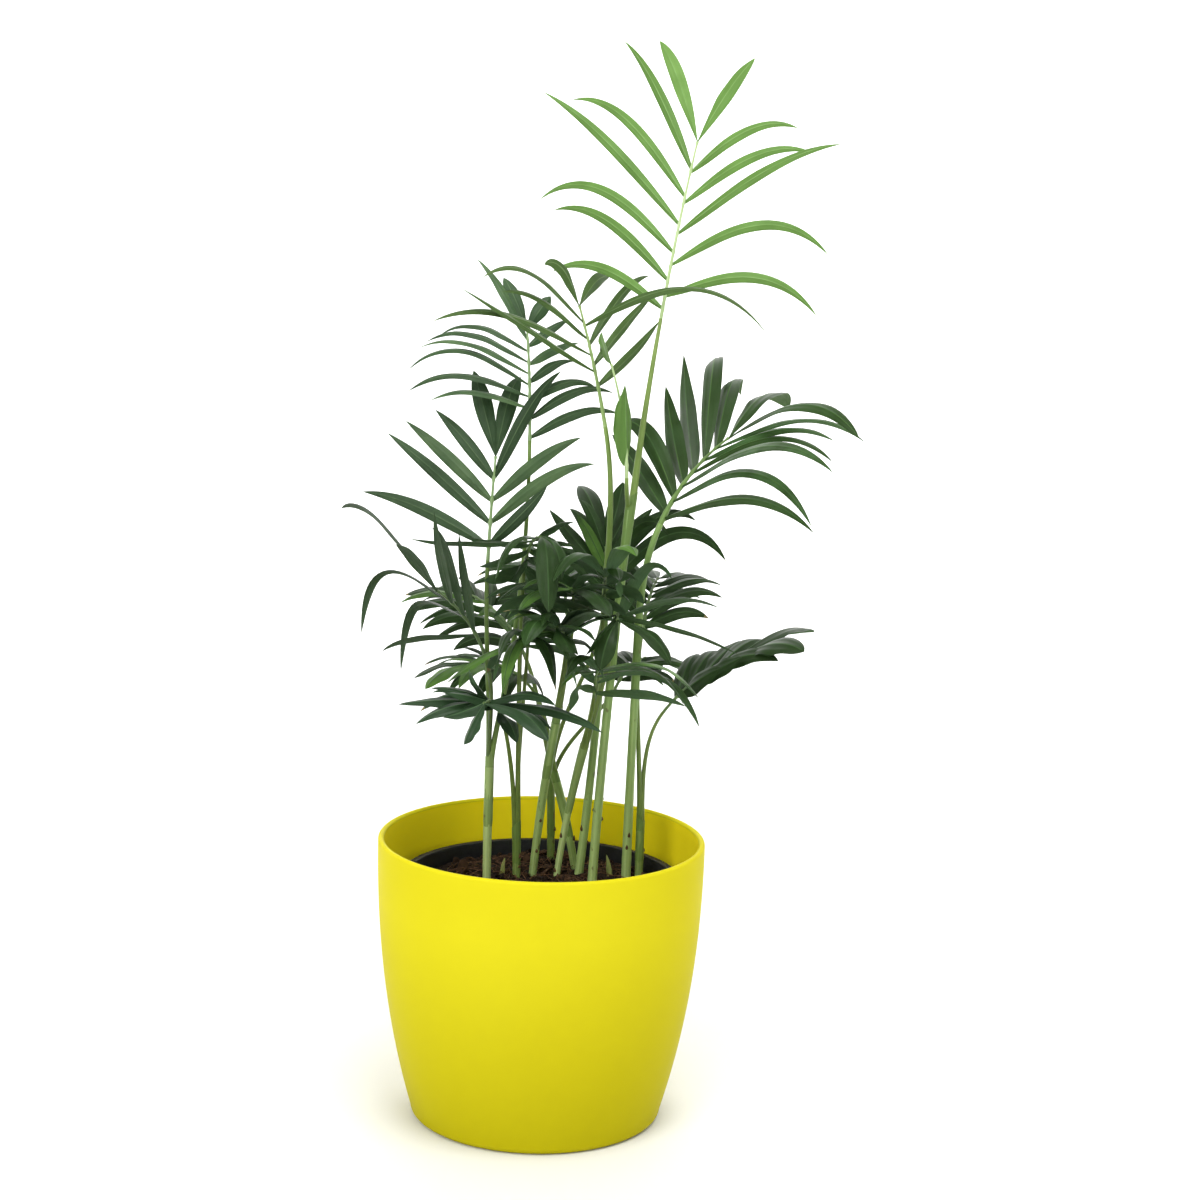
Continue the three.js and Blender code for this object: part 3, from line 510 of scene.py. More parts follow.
def cane_finish(name, foot, top, light):
    """Green cane, paler towards the soil, with fibres, bands and a few brown flecks."""
    finish = Finish(name, 0.42, 0.4)
    fibres = finish.spots("UV", 1.0, (8, 0.2, 1), 3.0)
    bands = finish.spots("UV", 1.0, (1.6, 0.12, 1), 1.0)
    flecks = finish.spots("Object", 300, (1, 1, 0.5))
    # Painted shade, in part: the cane darkens from its foot towards its top.
    toned = finish.blend(finish.height(), (SOIL_TOP * MM, 1.9 * SOIL_TOP * MM), foot, top)
    toned = finish.blend(fibres, (0.42, 0.75, 0, 0.5), toned, light)
    toned = finish.blend(bands, (0.4, 0.62, 0, 0.55), toned, paler(top, -0.3))
    toned = finish.blend(flecks, (0.68, 0.73, 0, 0.7), toned, "5f5a34")
    return finish.made(toned, (fibres, 0.4, 0.56), (fibres, 0.00014, 0.5))


# ---- pots

# A turned shape closes with a small flat face round the axis.
HUB = 0.5
RECESS = Sizes(inset=10.5, slope=1.5, depth=0.8)


def planter_radius(height):
    below = 1 - height / PLANTER.height
    return PLANTER.rim_radius - (PLANTER.rim_radius - PLANTER.foot_radius) * below ** PLANTER.swell


def planter_finish(name, base, other, low):
    """Satin plastic with faint clouds of tone, darker low down, partly as painted shade."""
    finish = Finish(name, 0.46, 0.02)
    clouds = finish.spots("Object", 7)
    face = finish.blend(clouds, (0.35, 0.65), base, other)
    # Painted shade, in part: the colour darkens towards the planter's foot.
    toned = finish.blend(finish.height(), (0.0, 0.11), low, face)
    return finish.made(toned, (clouds, 0.42, 0.5), (finish.spots("Object", 900), 0.00006, 0.35))


def make_planter():
    wall, floor, rounding = PLANTER.wall, PLANTER.floor, PLANTER.foot_rounding
    lip = wall / 2
    shoulder = PLANTER.height - lip
    inner = 0.55 * rounding
    edge = PLANTER.foot_radius - RECESS.inset
    profile = [[HUB, RECESS.depth], [edge - RECESS.slope, RECESS.depth], [edge, 0]]
    profile += arc([planter_radius(rounding) - rounding, rounding], rounding, -90, -8, 9)
    profile += [[planter_radius(level), level] for level in np.linspace(rounding, shoulder, 40)]
    profile += arc([planter_radius(shoulder) - lip, shoulder], lip, 12, 168, 9)
    outside = len(profile)
    profile += [[planter_radius(level) - wall, level]
                for level in np.linspace(shoulder, floor + rounding, 40)]
    profile += arc([planter_radius(floor + inner) - wall - inner, floor + inner], inner, -12, -90, 7)
    profile += [[HUB, floor]]
    # Faces inside the planter get a lighter copy of the same yellow: painted light.
    is_inside_painted_lighter = np.arange(len(profile) - 1)[:, None] >= outside
    shape = Shape()
    shape.add_tube(turned(profile), is_inside_painted_lighter.astype(int))
    # The last colour of each finish is its darker foot, partly painted shade.
    materials = [planter_finish("yellow plastic", "ddd220", "d9cc1b", "b8ae10"),
                 planter_finish("yellow plastic inside", "ffec22", "fce61e", "ecd418")]
    shape.dress("planter_shell", "planter", materials)


def make_nursery_pot():
    pot = NURSERY_POT
    under = NURSERY_RIM - pot.rim_depth
    foot_round, under_round, top_round, inner_round = 2, 0.5, 0.8, 0.6
    inside = pot.top_radius - pot.wall
    profile = [
        [HUB, NURSERY_FOOT],
        *arc([pot.foot_radius - foot_round, NURSERY_FOOT + foot_round], foot_round, -90, -10, 6),
        [pot.top_radius - 0.3, under - 0.5],
        [pot.top_radius + 0.4, under],
        *arc([pot.rim_radius - under_round, under + under_round], under_round, -90, 0, 4),
        *arc([pot.rim_radius - top_round, NURSERY_RIM - top_round], top_round, 0, 90, 5),
        *arc([inside + inner_round, NURSERY_RIM - inner_round], inner_round, 90, 180, 5),
        [inside - 0.2, under + 1],
        [pot.foot_radius - pot.wall, NURSERY_FLOOR],
        [HUB, NURSERY_FLOOR],
    ]
    shape = Shape()
    shape.add_tube(turned(profile))
    material = plain_finish("black plastic", "17181a", "202224", 0.5, 700, 0.00005, 0.35)
    shape.dress("nursery_pot_shell", "nursery_pot", [material])


# ---- soil

# The soil is heaped from its first height at the front to its second at the back.
SOIL_HEAP = [1.0, 5.0]
SOIL_SEED = 11
CRUMBS = 1700
CRUMB_SIZES = [0.5, 2.0]
CHIPS = 46
CHIP_SIZES = [1.6, 3.2]
FIBRES = 260
FIBRE_LENGTHS = [6, 22]
FIBRE_RADIUS = 0.22
FIBRE_RINGS = 9
DARK_PEAT, BROWN_PEAT, RED_PEAT, COIR = range(4)


def nursery_inside(height):
    """Inner radius of the nursery pot at a height."""
    share = (height - NURSERY_FLOOR) / (NURSERY_RIM - NURSERY_FLOOR)
    return mix(NURSERY_POT.foot_radius, NURSERY_POT.top_radius, share) - NURSERY_POT.wall


def ground_height(x, y):
    broad = 0.9 * math.sin(x * 0.11 + 1.3) * math.cos(y * 0.13 - 0.4)
    small = 0.5 * math.sin(x * 0.47 + y * 0.31) * math.cos(y * 0.53 - x * 0.17)
    return SOIL_TOP + mix(*SOIL_HEAP, smooth(-40, 60, y)) + broad + small


def ball():
    """Corners and faces of a ball of small triangles."""
    made = bmesh.new()
    bmesh.ops.create_icosphere(made, subdivisions=2, radius=1)
    corners = np.array([vertex.co[:] for vertex in made.verts])
    faces = [[vertex.index for vertex in face.verts] for face in made.faces]
    made.free()
    return corners, faces


BALL_CORNERS, BALL_FACES = ball()


def ground_place(draw, reach):
    """A random place on the soil, within a distance of its middle."""
    out = reach * math.sqrt(draw.random())
    return out * heading(TURN * draw.random())


def add_lump(shape, draw, reach, size, flat, finish):
    """A crumb or chip: a dented ball, squashed and turned at random, on the soil."""
    dents = 1 + 0.28 * draw.standard_normal(len(BALL_CORNERS))
    spin = np.array(Matrix.Rotation(TURN * draw.random(), 3, Vector(draw.normal(0, 1, 3))))
    body = (BALL_CORNERS * dents[:, None] * flat * size) @ spin.T
    x, y, _ = ground_place(draw, reach)
    shape.add(body + [x, y, ground_height(x, y) + 0.25 * size], BALL_FACES, finish)


def add_fibre(shape, draw, radius):
    """A thin bent strand of coir lying on the soil."""
    place = ground_place(draw, radius - 8)
    ahead = heading(TURN * draw.random())
    length = draw.uniform(*FIBRE_LENGTHS)
    beside = np.array([-ahead[1], ahead[0], 0])
    start = place - ahead * length / 2
    controls = [start, start + ahead * length * 0.35 + beside * draw.normal(0, 3),
                start + ahead * length * 0.7 + beside * draw.normal(0, 3), start + ahead * length]
    path = curve_path(controls, FIBRE_RINGS)
    share = np.linspace(0, 1, FIBRE_RINGS)
    lift = draw.uniform(0.6, 2.6) * np.sin(math.pi * share)
    path[:, 2] = [ground_height(x, y) + 0.2 for x, y, _ in path] + lift
    if np.linalg.norm(path[:, :2], axis=1).max() < radius - 1.5:
        shape.add_tube(sweep(path, FIBRE_RADIUS * (1 - 0.6 * share ** 2), 5, UP), COIR)


def make_soil():
    draw = np.random.default_rng(SOIL_SEED)
    radius = nursery_inside(SOIL_TOP) - SEAT
    foot = nursery_inside(NURSERY_FLOOR) - SEAT
    bottom = NURSERY_FLOOR + SEAT
    shape = Shape()
    rings = list(turned([[HUB, bottom], [foot, bottom], [radius, SOIL_TOP - 4]]))
    for share in np.linspace(1, 0.02, 46):
        ring = turned([[radius * share, 0]])[0]
        edge = 1.6 * smooth(0.94, 1.0, share)
        ring[:, 2] = [ground_height(x, y) - edge for x, y, _ in ring] + draw.normal(0, 0.22, len(ring))
        rings.append(ring)
    shape.add_tube(np.array(rings))
    for _ in range(CRUMBS):
        flat = np.array([1.0, draw.uniform(0.6, 1.0), draw.uniform(0.45, 0.8)])
        size = mix(*CRUMB_SIZES, draw.random() ** 3)
        add_lump(shape, draw, radius - 3, size, flat, int(draw.integers(DARK_PEAT, COIR)))
    for _ in range(CHIPS):
        add_lump(shape, draw, radius - 7, draw.uniform(*CHIP_SIZES), np.array([1.5, 0.8, 0.35]), RED_PEAT)
    for _ in range(FIBRES):
        add_fibre(shape, draw, radius)
    materials = [
        plain_finish("peat dark", "2c1e15", "1d140e", 0.9, 500, 0.0006, 0.15),
        plain_finish("peat brown", "3b2b1d", "2c2017", 0.9, 500, 0.0006, 0.15),
        plain_finish("peat red", "4b3524", "38281a", 0.88, 500, 0.0005, 0.15),
        plain_finish("coir fibre", "6c4f38", "523a28", 0.8, 600, 0.0002, 0.2),
    ]
    shape.dress("soil_bed", "soil", materials, 60)


# ---- canes, sheaths and shoots

CANE_SEED = 5
CANE_STEP = 0.9
CANE_FLARE = 0.3
SCAR_START = [6, 14]
SCAR_SPACING = [20, 44]
SCAR_RISE = 0.07
SCAR_WIDTH = 1.4
HUSK_LENGTHS = [1.0, 3.0]
HUSK_RADII = [0.6, 0.7, 0.7, 0.55, 0.35, 0.12]
HUSK_REACH = 48
SHEATH_LENGTH = 30
SHEATH_SHARE = 0.6
SHEATH_RISE = 7
SHEATH_WALL = 0.18
SLANT = 2.2
SLANT_LENGTH = 14
INNER_RINGS = 6
CANE, HUSK, SHEATH = range(3)

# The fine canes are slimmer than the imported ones, most of all under three stalks, and their
# stalks stand closer together, because the sheath hides where they meet.
SLIM = 0.95
SLIM_WITH_THREE = 0.82
GATHER = 0.5


def stem_controls(stem):
    """A stem leans a little as it leaves the soil, and more towards its top."""
    foot = np.array([*stem.foot, SOIL_TOP + SEAT], float)
    top = np.array(stem.top, float)
    middle = mix(foot, top, stem.lean)
    middle[2] = (foot[2] + top[2]) / 2
    return [foot, middle, top]


def mates_of(stem):
    return [frond for frond in FRONDS if frond.stem == stem.name]


def cane_radius(stem, share):
    slim = SLIM_WITH_THREE if len(mates_of(stem)) > 2 else SLIM
    return slim * mix(*stem.radii, share)


def stalk_spacing(stem):
    """How far a stalk's seat lies from the middle of its stem's top."""
    mates = mates_of(stem)
    if len(mates) < 2:
        return 0
    thickest = max(mate.stalk[0] for mate in mates)
    return GATHER * (thickest + SEAT / 2) / math.sin(math.pi / len(mates))


def wrap_radius(stem, angles):
    """Radius, at each angle, of a skin drawn tight round a stem's stalks."""
    spacing = stalk_spacing(stem)
    reaches = [spacing * np.cos(angles - math.radians(seat)) + mate.stalk[0]
               for seat, mate in zip(stem.seats or [0], mates_of(stem))]
    return np.max(reaches, axis=0)


def add_sheath(shape, stem, draw):
    """The sheath round a cane's upper part, with a slanted mouth for the stalks."""
    controls = stem_controls(stem)
    way = curve_way(controls, 1)
    cane = curve_path(controls, CURVE_STEPS)
    gone = path_lengths(cane)
    length = min(SHEATH_LENGTH, SHEATH_SHARE * gone[-1])
    lower = cane[gone > gone[-1] - length][::4]
    upper = controls[2] + np.outer(np.linspace(0.4, SHEATH_RISE, 12), way)
    spine = np.concatenate([lower, upper])
    place = path_lengths(spine)
    rise = smooth(0, 1, place / place[-1])[:, None]
    angles = around(CANE_SIDES)
    radius = mix(cane_radius(stem, 1 - length / gone[-1]), wrap_radius(stem, angles)[None, :], rise)
    radius = radius + SHEATH_WALL * smooth(0, 3, place)[:, None]
    any_side = draw.uniform(0, 360)
    slant = math.radians(stem.seats[0] if stem.seats else any_side)
    near_top = smooth(place[-1] - SLANT_LENGTH, place[-1], place)[:, None]
    shift = (SLANT * np.cos(angles - slant)[None, :] * near_top)[..., None] * way
    outer = sweep(spine, radius, CANE_SIDES) + shift
    inner = sweep(spine, radius - SHEATH_WALL, CANE_SIDES) + shift
    back = slice(None, -1 - INNER_RINGS, -1)
    rings = np.concatenate([outer, inner[back]])
    shape.add_tube(rings, SHEATH, grain_places(CANE_SIDES, np.concatenate([place, place[back]])))


def add_husk(shape, draw, path, radius):
    """A brown scrap of old sheath that stands off a cane near its foot."""
    out = heading(TURN * draw.random(), 0.15)
    at = int(draw.integers(2, 3 + min(len(path) // 2, HUSK_REACH)))
    foot = path[at] + out * (radius[at] - 0.3)
    length = draw.uniform(*HUSK_LENGTHS)
    husk = curve_path([foot, foot + out * 0.5, foot + out * 0.5 + UP * length], len(HUSK_RADII))
    shape.add_tube(sweep(husk, HUSK_RADII, 8, UP), HUSK)


def make_cane(stem, draw, materials):
    controls = stem_controls(stem)
    rough_length = path_lengths(curve_path(controls, 9))[-1]
    path = curve_path(controls, int(rough_length / CANE_STEP))
    gone = path_lengths(path)
    share = gone / gone[-1]
    radius = cane_radius(stem, share) + CANE_FLARE * np.exp(-gone / 3)
    scar = draw.uniform(*SCAR_START)
    while scar < gone[-1] - 6:
        radius = radius + SCAR_RISE * bump(gone, scar, SCAR_WIDTH)
        scar += draw.uniform(*SCAR_SPACING)
    angles = around(CANE_SIDES)[None, :]
    wander = 0.05 * np.sin(3 * angles + share[:, None] * 7 + draw.uniform(0, 6))
    wander = wander + 0.04 * np.sin(7 * angles - share[:, None] * 5)
    shape = Shape()
    rings = sweep(path, radius[:, None] + wander, CANE_SIDES)
    shape.add_tube(rings, CANE, grain_places(CANE_SIDES, gone))
    for _ in range(int(draw.integers(2, 5))):
        add_husk(shape, draw, path, radius)
    add_sheath(shape, stem, draw)
    shape.dress(f"cane_{stem.name}", f"stem_{stem.name}", materials)


def make_shoot(young, materials):
    """A pointed shoot of two sheaths, one inside the other."""
    start = np.array([*young.foot, SOIL_TOP + SEAT], float)
    lean = np.array([*young.lean, 0], float)
    shape = Shape()
    for order, (low, high, wide) in enumerate(((0.0, 0.62, 1.0), (0.1, 1.0, 0.8))):
        share = np.linspace(low, high, 26)
        path = start + np.outer(share * young.height, UP) + np.outer(share ** 2, lean)
        local = (share - low) / (high - low)
        radius = young.radius * wide * (1 - local ** 2.2) ** 0.9 * (0.86 + 0.2 * local) + 0.03
        fold = 1 + 0.06 * np.cos(around(SHOOT_SIDES) * 2 + order)[None, :]
        shape.add_tube(sweep(path, radius[:, None] * fold, SHOOT_SIDES), order,
                       grain_places(SHOOT_SIDES, local, 3))
    shape.dress(f"bud_{young.name}", f"shoot_{young.name}", materials)


# ---- stalks and rachises


def rachis_controls(frond):
    foot = np.array(frond.foot, float)
    tip = np.array(frond.tip, float)
    upward = across_way(UP, unit(tip - foot))
    return [foot, mix(foot, tip, 0.5) + upward * 2 * frond.rise, tip]


def stalk_controls(frond):
    """A stalk starts in line with its stem, and ends in line with its rachis."""
    stem = next(one for one in STEMS if one.name == frond.stem)
    controls = stem_controls(stem)
    upward = curve_way(controls, 1)
    seat = controls[2] + upward * SEAT
    mates = mates_of(stem)
    if len(mates) > 1:
        out = heading(math.radians(stem.seats[mates.index(frond)]))
        seat = seat + across_way(out, upward) * stalk_spacing(stem)
    onward = curve_way(rachis_controls(frond), 0)
    end = np.array(frond.foot, float) - onward * SEAT
    length = np.linalg.norm(seat - end)
    near, far = frond.hold
    return [seat, seat + upward * near * length, end - onward * far * length, end]


def frond_frame(frond, controls, fraction):
    """The rachis's point, direction, right side and upper face at a fraction."""
    onward = curve_way(controls, fraction)
    ahead = np.subtract(frond.tip, frond.foot).astype(float)
    side = across_way(unit([ahead[1], -ahead[0], 0]), onward)
    face = np.cross(side, onward)
    roll = math.radians(frond.roll)
    side = side * math.cos(roll) + face * math.sin(roll)
    return Sizes(point=curve_point(controls, fraction), onward=onward, side=side,
                 face=np.cross(side, onward))


def make_rib(frond, leaflet_places, materials):
    """Stalk and rachis as one limb: grooved above, and swollen at each leaflet."""
    controls = rachis_controls(frond)
    path = np.concatenate([curve_path(stalk_controls(frond), RIB_RINGS), curve_path(controls, RIB_RINGS)])
    gone = path_lengths(path)
    low, high = frond.stalk
    share = np.linspace(0, 1, RIB_RINGS)
    radius = np.concatenate([mix(low, high, share),
                             mix(high * RACHIS_TAPER, RACHIS_TIP_RADIUS, share ** 0.9)])
    radius = radius * (1 + 0.08 * np.exp(-gone / 12))
    for place in leaflet_places:
        nearest = np.argmin(np.linalg.norm(path - curve_point(controls, place), axis=1))
        radius = radius + 0.2 * bump(gone, gone[nearest], 1.1)
    # the path's last ring carries the frond's face, so the rings are laid from there down
    groove = bump(np.minimum(around(RIB_SIDES), TURN - around(RIB_SIDES)), 0, 0.55)[None, :]
    depth = 0.16 * smooth(0.15, 0.6, gone / gone[-1])[:, None]
    profile = radius[:, None] * (1 - depth * groove)
    face = frond_frame(frond, controls, 1).face
    rings = sweep(path[::-1], profile[::-1], RIB_SIDES, face)
    is_rachis = np.arange(2 * RIB_RINGS - 1)[:, None] < RIB_RINGS
    shape = Shape()
    shape.add_tube(rings, is_rachis.astype(int), grain_places(RIB_SIDES, gone[::-1], 3))
    shape.dress(f"rib_{frond.name}", f"stalk_{frond.name}", materials, 60)


# ---- leaflets

LEAF_SEED = 29
LEAF_THICKNESS = 0.34
TWIST = math.radians(14)
FOLDS = [30, 13]
PLEAT = 0.055
WAVE = 0.07
UPPER, UPPER_DEEP_AND_PAINTED_SHADE, UPPER_LIGHT, VEIN, UNDER, DRY = range(6)


def leaflet_at(frond, row, sign, share, is_last=False):
    """A leaflet at a share of its row."""
    place = mix(row.start, 1, share)
    return Sizes(
        place=place,
        frame=frond_frame(frond, rachis_controls(frond), place),
        sign=sign,
        spread=math.radians(along(row.spread, share)),
        lift=math.radians(along(row.lift, share)),
        blade=BLADES.get(frond.name, DEEP_BLADES)[sign > 0],
        is_last=is_last,
        droop=along(row.droop, share),
        bend=frond.bend,
        reach=along(row.reach, share),
        breadth=(row.breadth or frond.breadth) * (END_BREADTH if is_last else 1),
        outline=END_OUTLINE if is_last else OUTLINE,
    )


def leaflet_spine(leaflet, tilt, steps):
    """Points and directions down a leaflet's middle, which sags more and more."""
    spread = leaflet.spread
    lift = leaflet.lift + math.radians(tilt)
    basis = leaflet.frame
    start = (basis.onward * math.cos(spread)
             + basis.side * leaflet.sign * math.sin(spread) * math.cos(lift)
             + basis.face * math.sin(spread) * math.sin(lift))
    middles = (np.arange(steps) + 0.5) / steps
    ways = unit(start - np.outer(leaflet.droop * middles ** leaflet.bend, UP))
    points = np.concatenate([[basis.point], basis.point + np.cumsum(ways, axis=0)
                             * leaflet.reach / steps])
    return points, np.concatenate([[start], ways])


def outline_share(fraction, shape):
    """Breadth at a fraction of the length, as a share of the greatest."""
    start, shoulder, taper = shape.start, shape.shoulder, shape.taper
    widest = (shoulder - taper * start) / (shoulder + taper)
    peak = (widest + start) ** shoulder * (1 - widest) ** taper
    return (fraction + start) ** shoulder * (1 - fraction) ** taper / peak


def cad_tilt(leaflet, surface):
    """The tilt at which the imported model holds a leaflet, or None where it was left out."""
    rings = CAD_RINGS_LONG if leaflet.reach > LONG_LEAF else CAD_RINGS_SHORT
    misses = []
    for tilt in TILTS:
        points, _ = leaflet_spine(leaflet, tilt, CAD_STEPS)
        chosen = points[CAD_STEPS // rings::CAD_STEPS // rings]
        misses.append(np.mean([surface.find_nearest(Vector(point * MM))[3] for point in chosen]) / MM)
    best = int(np.argmin(misses))
    return TILTS[best] if misses[best] < CAD_MISS else None


def packed_leaflets(frond):
    """A frond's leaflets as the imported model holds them, each with its tilt."""
    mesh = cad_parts[f"frond_{frond.name}"].data
    surface = BVHTree.FromPolygons([vertex.co.copy() for vertex in mesh.vertices],
                                   [tuple(face.vertices) for face in mesh.polygons])
    leaflets = []
    for row, sign in ((frond.left, -1), (frond.right, 1)):
        last = len(row.reach) - 1
        for index in range(last + 1):
            leaflet = leaflet_at(frond, row, sign, index / last, index == last)
            tilt = cad_tilt(leaflet, surface)
            if tilt is not None:
                leaflets.append((leaflet, tilt))
    return leaflets


def extra_leaflets(frond, crowd, draw):
    """Smaller leaflets between a frond's own, each tilted clear of the crowd."""
    leaflets = []
    for row, sign in ((frond.left, -1), (frond.right, 1)):
        last = len(row.reach) - 1
        for index in range(last):
            leaflet = leaflet_at(frond, row, sign, (index + 0.5) / last)
            leaflet.reach *= EXTRA_SIZE * draw.uniform(0.8, 1.0)
            leaflet.breadth *= EXTRA_SIZE
            for tilt in draw.permutation(EXTRA_TILTS):
                points, _ = leaflet_spine(leaflet, tilt, CAD_STEPS)
                own = points[CAD_STEPS // 3::2]
                gaps = np.linalg.norm(own[:, None, :] - np.concatenate(crowd)[None], axis=2)
                if gaps.min() > ROOM:
                    crowd.append(points[4::2])
                    leaflets.append((leaflet, tilt))
                    break
    return leaflets


def leaflet_rings(leaflet, tilt, draw):
    """Rings round a leaflet: folded along its midrib, pleated, thin at its margins."""
    spine, ways = leaflet_spine(leaflet, tilt, LEAF_STEPS)
    t = np.linspace(0, 1, LEAF_RINGS) ** 1.08
    t[-1] = 0.997
    steps = np.linspace(0, 1, LEAF_STEPS + 1)
    centre = read_at(t, steps, spine)
    way = unit(read_at(t, steps, ways))
    fullness, turn = leaflet.blade
    turn = 0 if leaflet.is_last else turn
    up = mix(leaflet.frame.face, UP if turn > 0 else FRONT, abs(turn))
    face = unit(up - way * (way @ up)[:, None])
    side = np.cross(face, way)
    twist = (draw.uniform(-TWIST, TWIST) * t ** 1.5)[:, None]
    side = side * np.cos(twist) + face * np.sin(twist)
    face = np.cross(way, side)
    half = fullness * leaflet.breadth / 2 * outline_share(t, leaflet.outline)[:, None]
    t = t[:, None]

    right = np.array(HALF_SECTION)
    across = np.concatenate([-right[:0:-1], right])[None, :]
    size = np.abs(across)
    fold = np.radians(mix(*FOLDS, smooth(0.0, 0.5, t)) + draw.uniform(-4, 6))
    top = -np.tan(fold) * half * (np.sqrt(size ** 2 + 0.05 ** 2) - 0.05)
    pleats = PLEAT * np.cos(size * TURN * 1.6) * size
    left_wave, right_wave = [np.sin(t * TURN * draw.uniform(1.5, 3.2) + draw.uniform(0, TURN))
                             for _ in range(2)]
    waves = WAVE * np.where(across < 0, left_wave, right_wave) * size ** 2
    top = top + (pleats + waves) * half + 0.12 * bump(across, 0, 0.09) * (1 - t)
    body = LEAF_THICKNESS * (1 - 0.5 * t ** 2) * np.sqrt(np.maximum(1 - size ** 2, 0))
    keel = (0.55 - 0.35 * t) * bump(across, 0, 0.13) * (1 - t ** 3)
    under = top - body - keel

    columns = np.concatenate([across, across[:, -2:0:-1]], axis=1)
    heights = np.concatenate([top, under[:, -2:0:-1]], axis=1)
    rings = (centre[:, None, :] + side[:, None, :] * (half * columns)[..., None]
             + face[:, None, :] * heights[..., None])
    return rings, np.stack(np.broadcast_arrays(columns, t * leaflet.reach / 10), axis=-1)


def leaflet_finish(draw, leaflet, light_share, dry_share):
    """Finish numbers of a leaflet's faces, with painted shade on blades turned to the front and a dry tip
    on some.
    """
    span = len(HALF_SECTION) - 1
    upper = draw.choice([UPPER, UPPER_DEEP_AND_PAINTED_SHADE, UPPER_LIGHT],
                        p=[0.6 - light_share / 2, 0.4 - light_share / 2, light_share])
    # Painted shade: blades turned to the front take the deeper upper colour.
    if leaflet.blade[1] < 0:
        upper = UPPER_DEEP_AND_PAINTED_SHADE
    row = [upper] * (span - 1) + [VEIN] * 2 + [upper] * (span - 1) + [UNDER] * (2 * span)
    finish = np.tile(row, (LEAF_RINGS - 1, 1))
    if draw.random() < dry_share:
        finish[-2:] = DRY
    return finish


def make_frond(frond, leaflets, draw, materials, rib_materials):
    """All leaflets of a frond as one piece, and its stalk and rachis as another."""
    shade = SHADES[frond.shade]
    shape = Shape()
    for leaflet, tilt in leaflets:
        rings, grain = leaflet_rings(leaflet, tilt, draw)
        shape.add_tube(rings, leaflet_finish(draw, leaflet, shade.light, shade.dry), grain)
    shape.dress(f"leaflets_{frond.name}", f"frond_{frond.name}", materials, 55)
    make_rib(frond, [leaflet.place for leaflet, _ in leaflets], rib_materials)


# ---- colours of the plant

# Shades of fronds: slot; upper side, deeper upper side (also the painted shade on blades turned to the
# front), lighter upper side, vein, under side; stalk and rachis, each with its deeper tone; and the
# shares of lighter leaflets and of dry tips.
Shade = namedtuple("Shade", "slot leaf stalk rachis light dry")
SHADES = {
    "spring": Shade("frond_light", "658b44 5b7e3c 71964e 7da15e 729456",
        "839c53 708a42", "b4ca94 99b575", 0.2, 0),
    "fresh": Shade("frond_mid", "4d6636 445c2f 607844 657d4b 5e7449",
        "7b954d 69833f", "90a969 7b9755", 0.2, 0),
    "middle": Shade("frond_mid", "3e5637 34482e 546e47 546c47 546850",
        "728d48 617b3c", "8aa472 74905a", 0.15, 0.05),
    "cool": Shade("frond_dark", "394f33 2f422a 4d6440 4d6341 4d5f49",
        "6e8846 5d763a", "849e6c 6f8a56", 0.15, 0.05),
    # Painted shade: this shade's deeper green is darkened for the right frond's front-turned left row.
    "right": Shade("frond_mid", "3c5a30 283f18 4e7038 46642f 506a40",
        "7c9b53 6b8b4a", "6c8a48 5a763c", 0.25, 0),
    # Painted sheen: lighter, bluer leaf colours for the low left frond.
    "painted_sheen": Shade("frond_dark", "375033 2c4229 4f6c48 4a6642 4a6246",
        "6a803e 586c32", "66804a 546a3c", 0.3, 0.05),
    "grey": Shade("frond_dark", "22301b 1c2817 304426 32462c 384a32",
        "566c3a 485c30", "5e7448 4c6038", 0.1, 0),
    "deep": Shade("frond_dark", "2b441e 243719 527630 405b33 476141",
        "6a803e 586c32", "66804a 546a3c", 0.12, 0.06),
}
# A cane's foot, its upper part and its streaks; then its sheath's.
CANE_COLOURS = {
    # Painted light: the pale set, on the brightest canes.
    "pale": ["bfd48e 94b264 ccdaa8", "8ca460 7b9751 a2b67c"],
    "green": ["aac27a 7c9e50 bccf94", "7d9652 6b8b42 93a96a"],
    # Painted shade: the olive set, on canes further back.
    "olive_painted_shade": ["7d944e 647e3a 96aa6a", "6e8842 5e7836 86a058"],
}


def leaf_set(name, shade):
    """The finishes of a frond's leaflets, in the order of their finish numbers."""
    upper, deep, light, vein, under = shade.leaf.split()
    looks = [("upper", upper, deep, 0.42), ("upper deep", deep, halfway(deep, upper), 0.42),
             ("upper light", light, upper, 0.44), ("vein", vein, upper, 0.45),
             ("under", under, vein, 0.55)]
    finishes = [green_finish(f"leaf {name} {side}", *tones, LEAF, roughness)
                for side, *tones, roughness in looks]
    return finishes + [plain_finish(f"leaf {name} dry tip", "7d7448", "655c36", 0.7)]


def make_stems():
    draw = np.random.default_rng(CANE_SEED)
    husk = plain_finish("husk", "6a5438", "4a3a28", 0.85, 900, 0.0002, 0.15)
    canes = {shade: [cane_finish(f"cane {shade}", *cane.split()), husk,
                     cane_finish(f"sheath {shade}", *sheath.split())]
             for shade, (cane, sheath) in CANE_COLOURS.items()}
    for stem in STEMS:
        make_cane(stem, draw, canes[stem.shade])
    buds = [green_finish("bud sheath", "8c8a55", "6f6f42", STALK),
            green_finish("bud", "a8b070", "8c9c58", STALK)]
    for young in SHOOTS:
        make_shoot(young, buds)


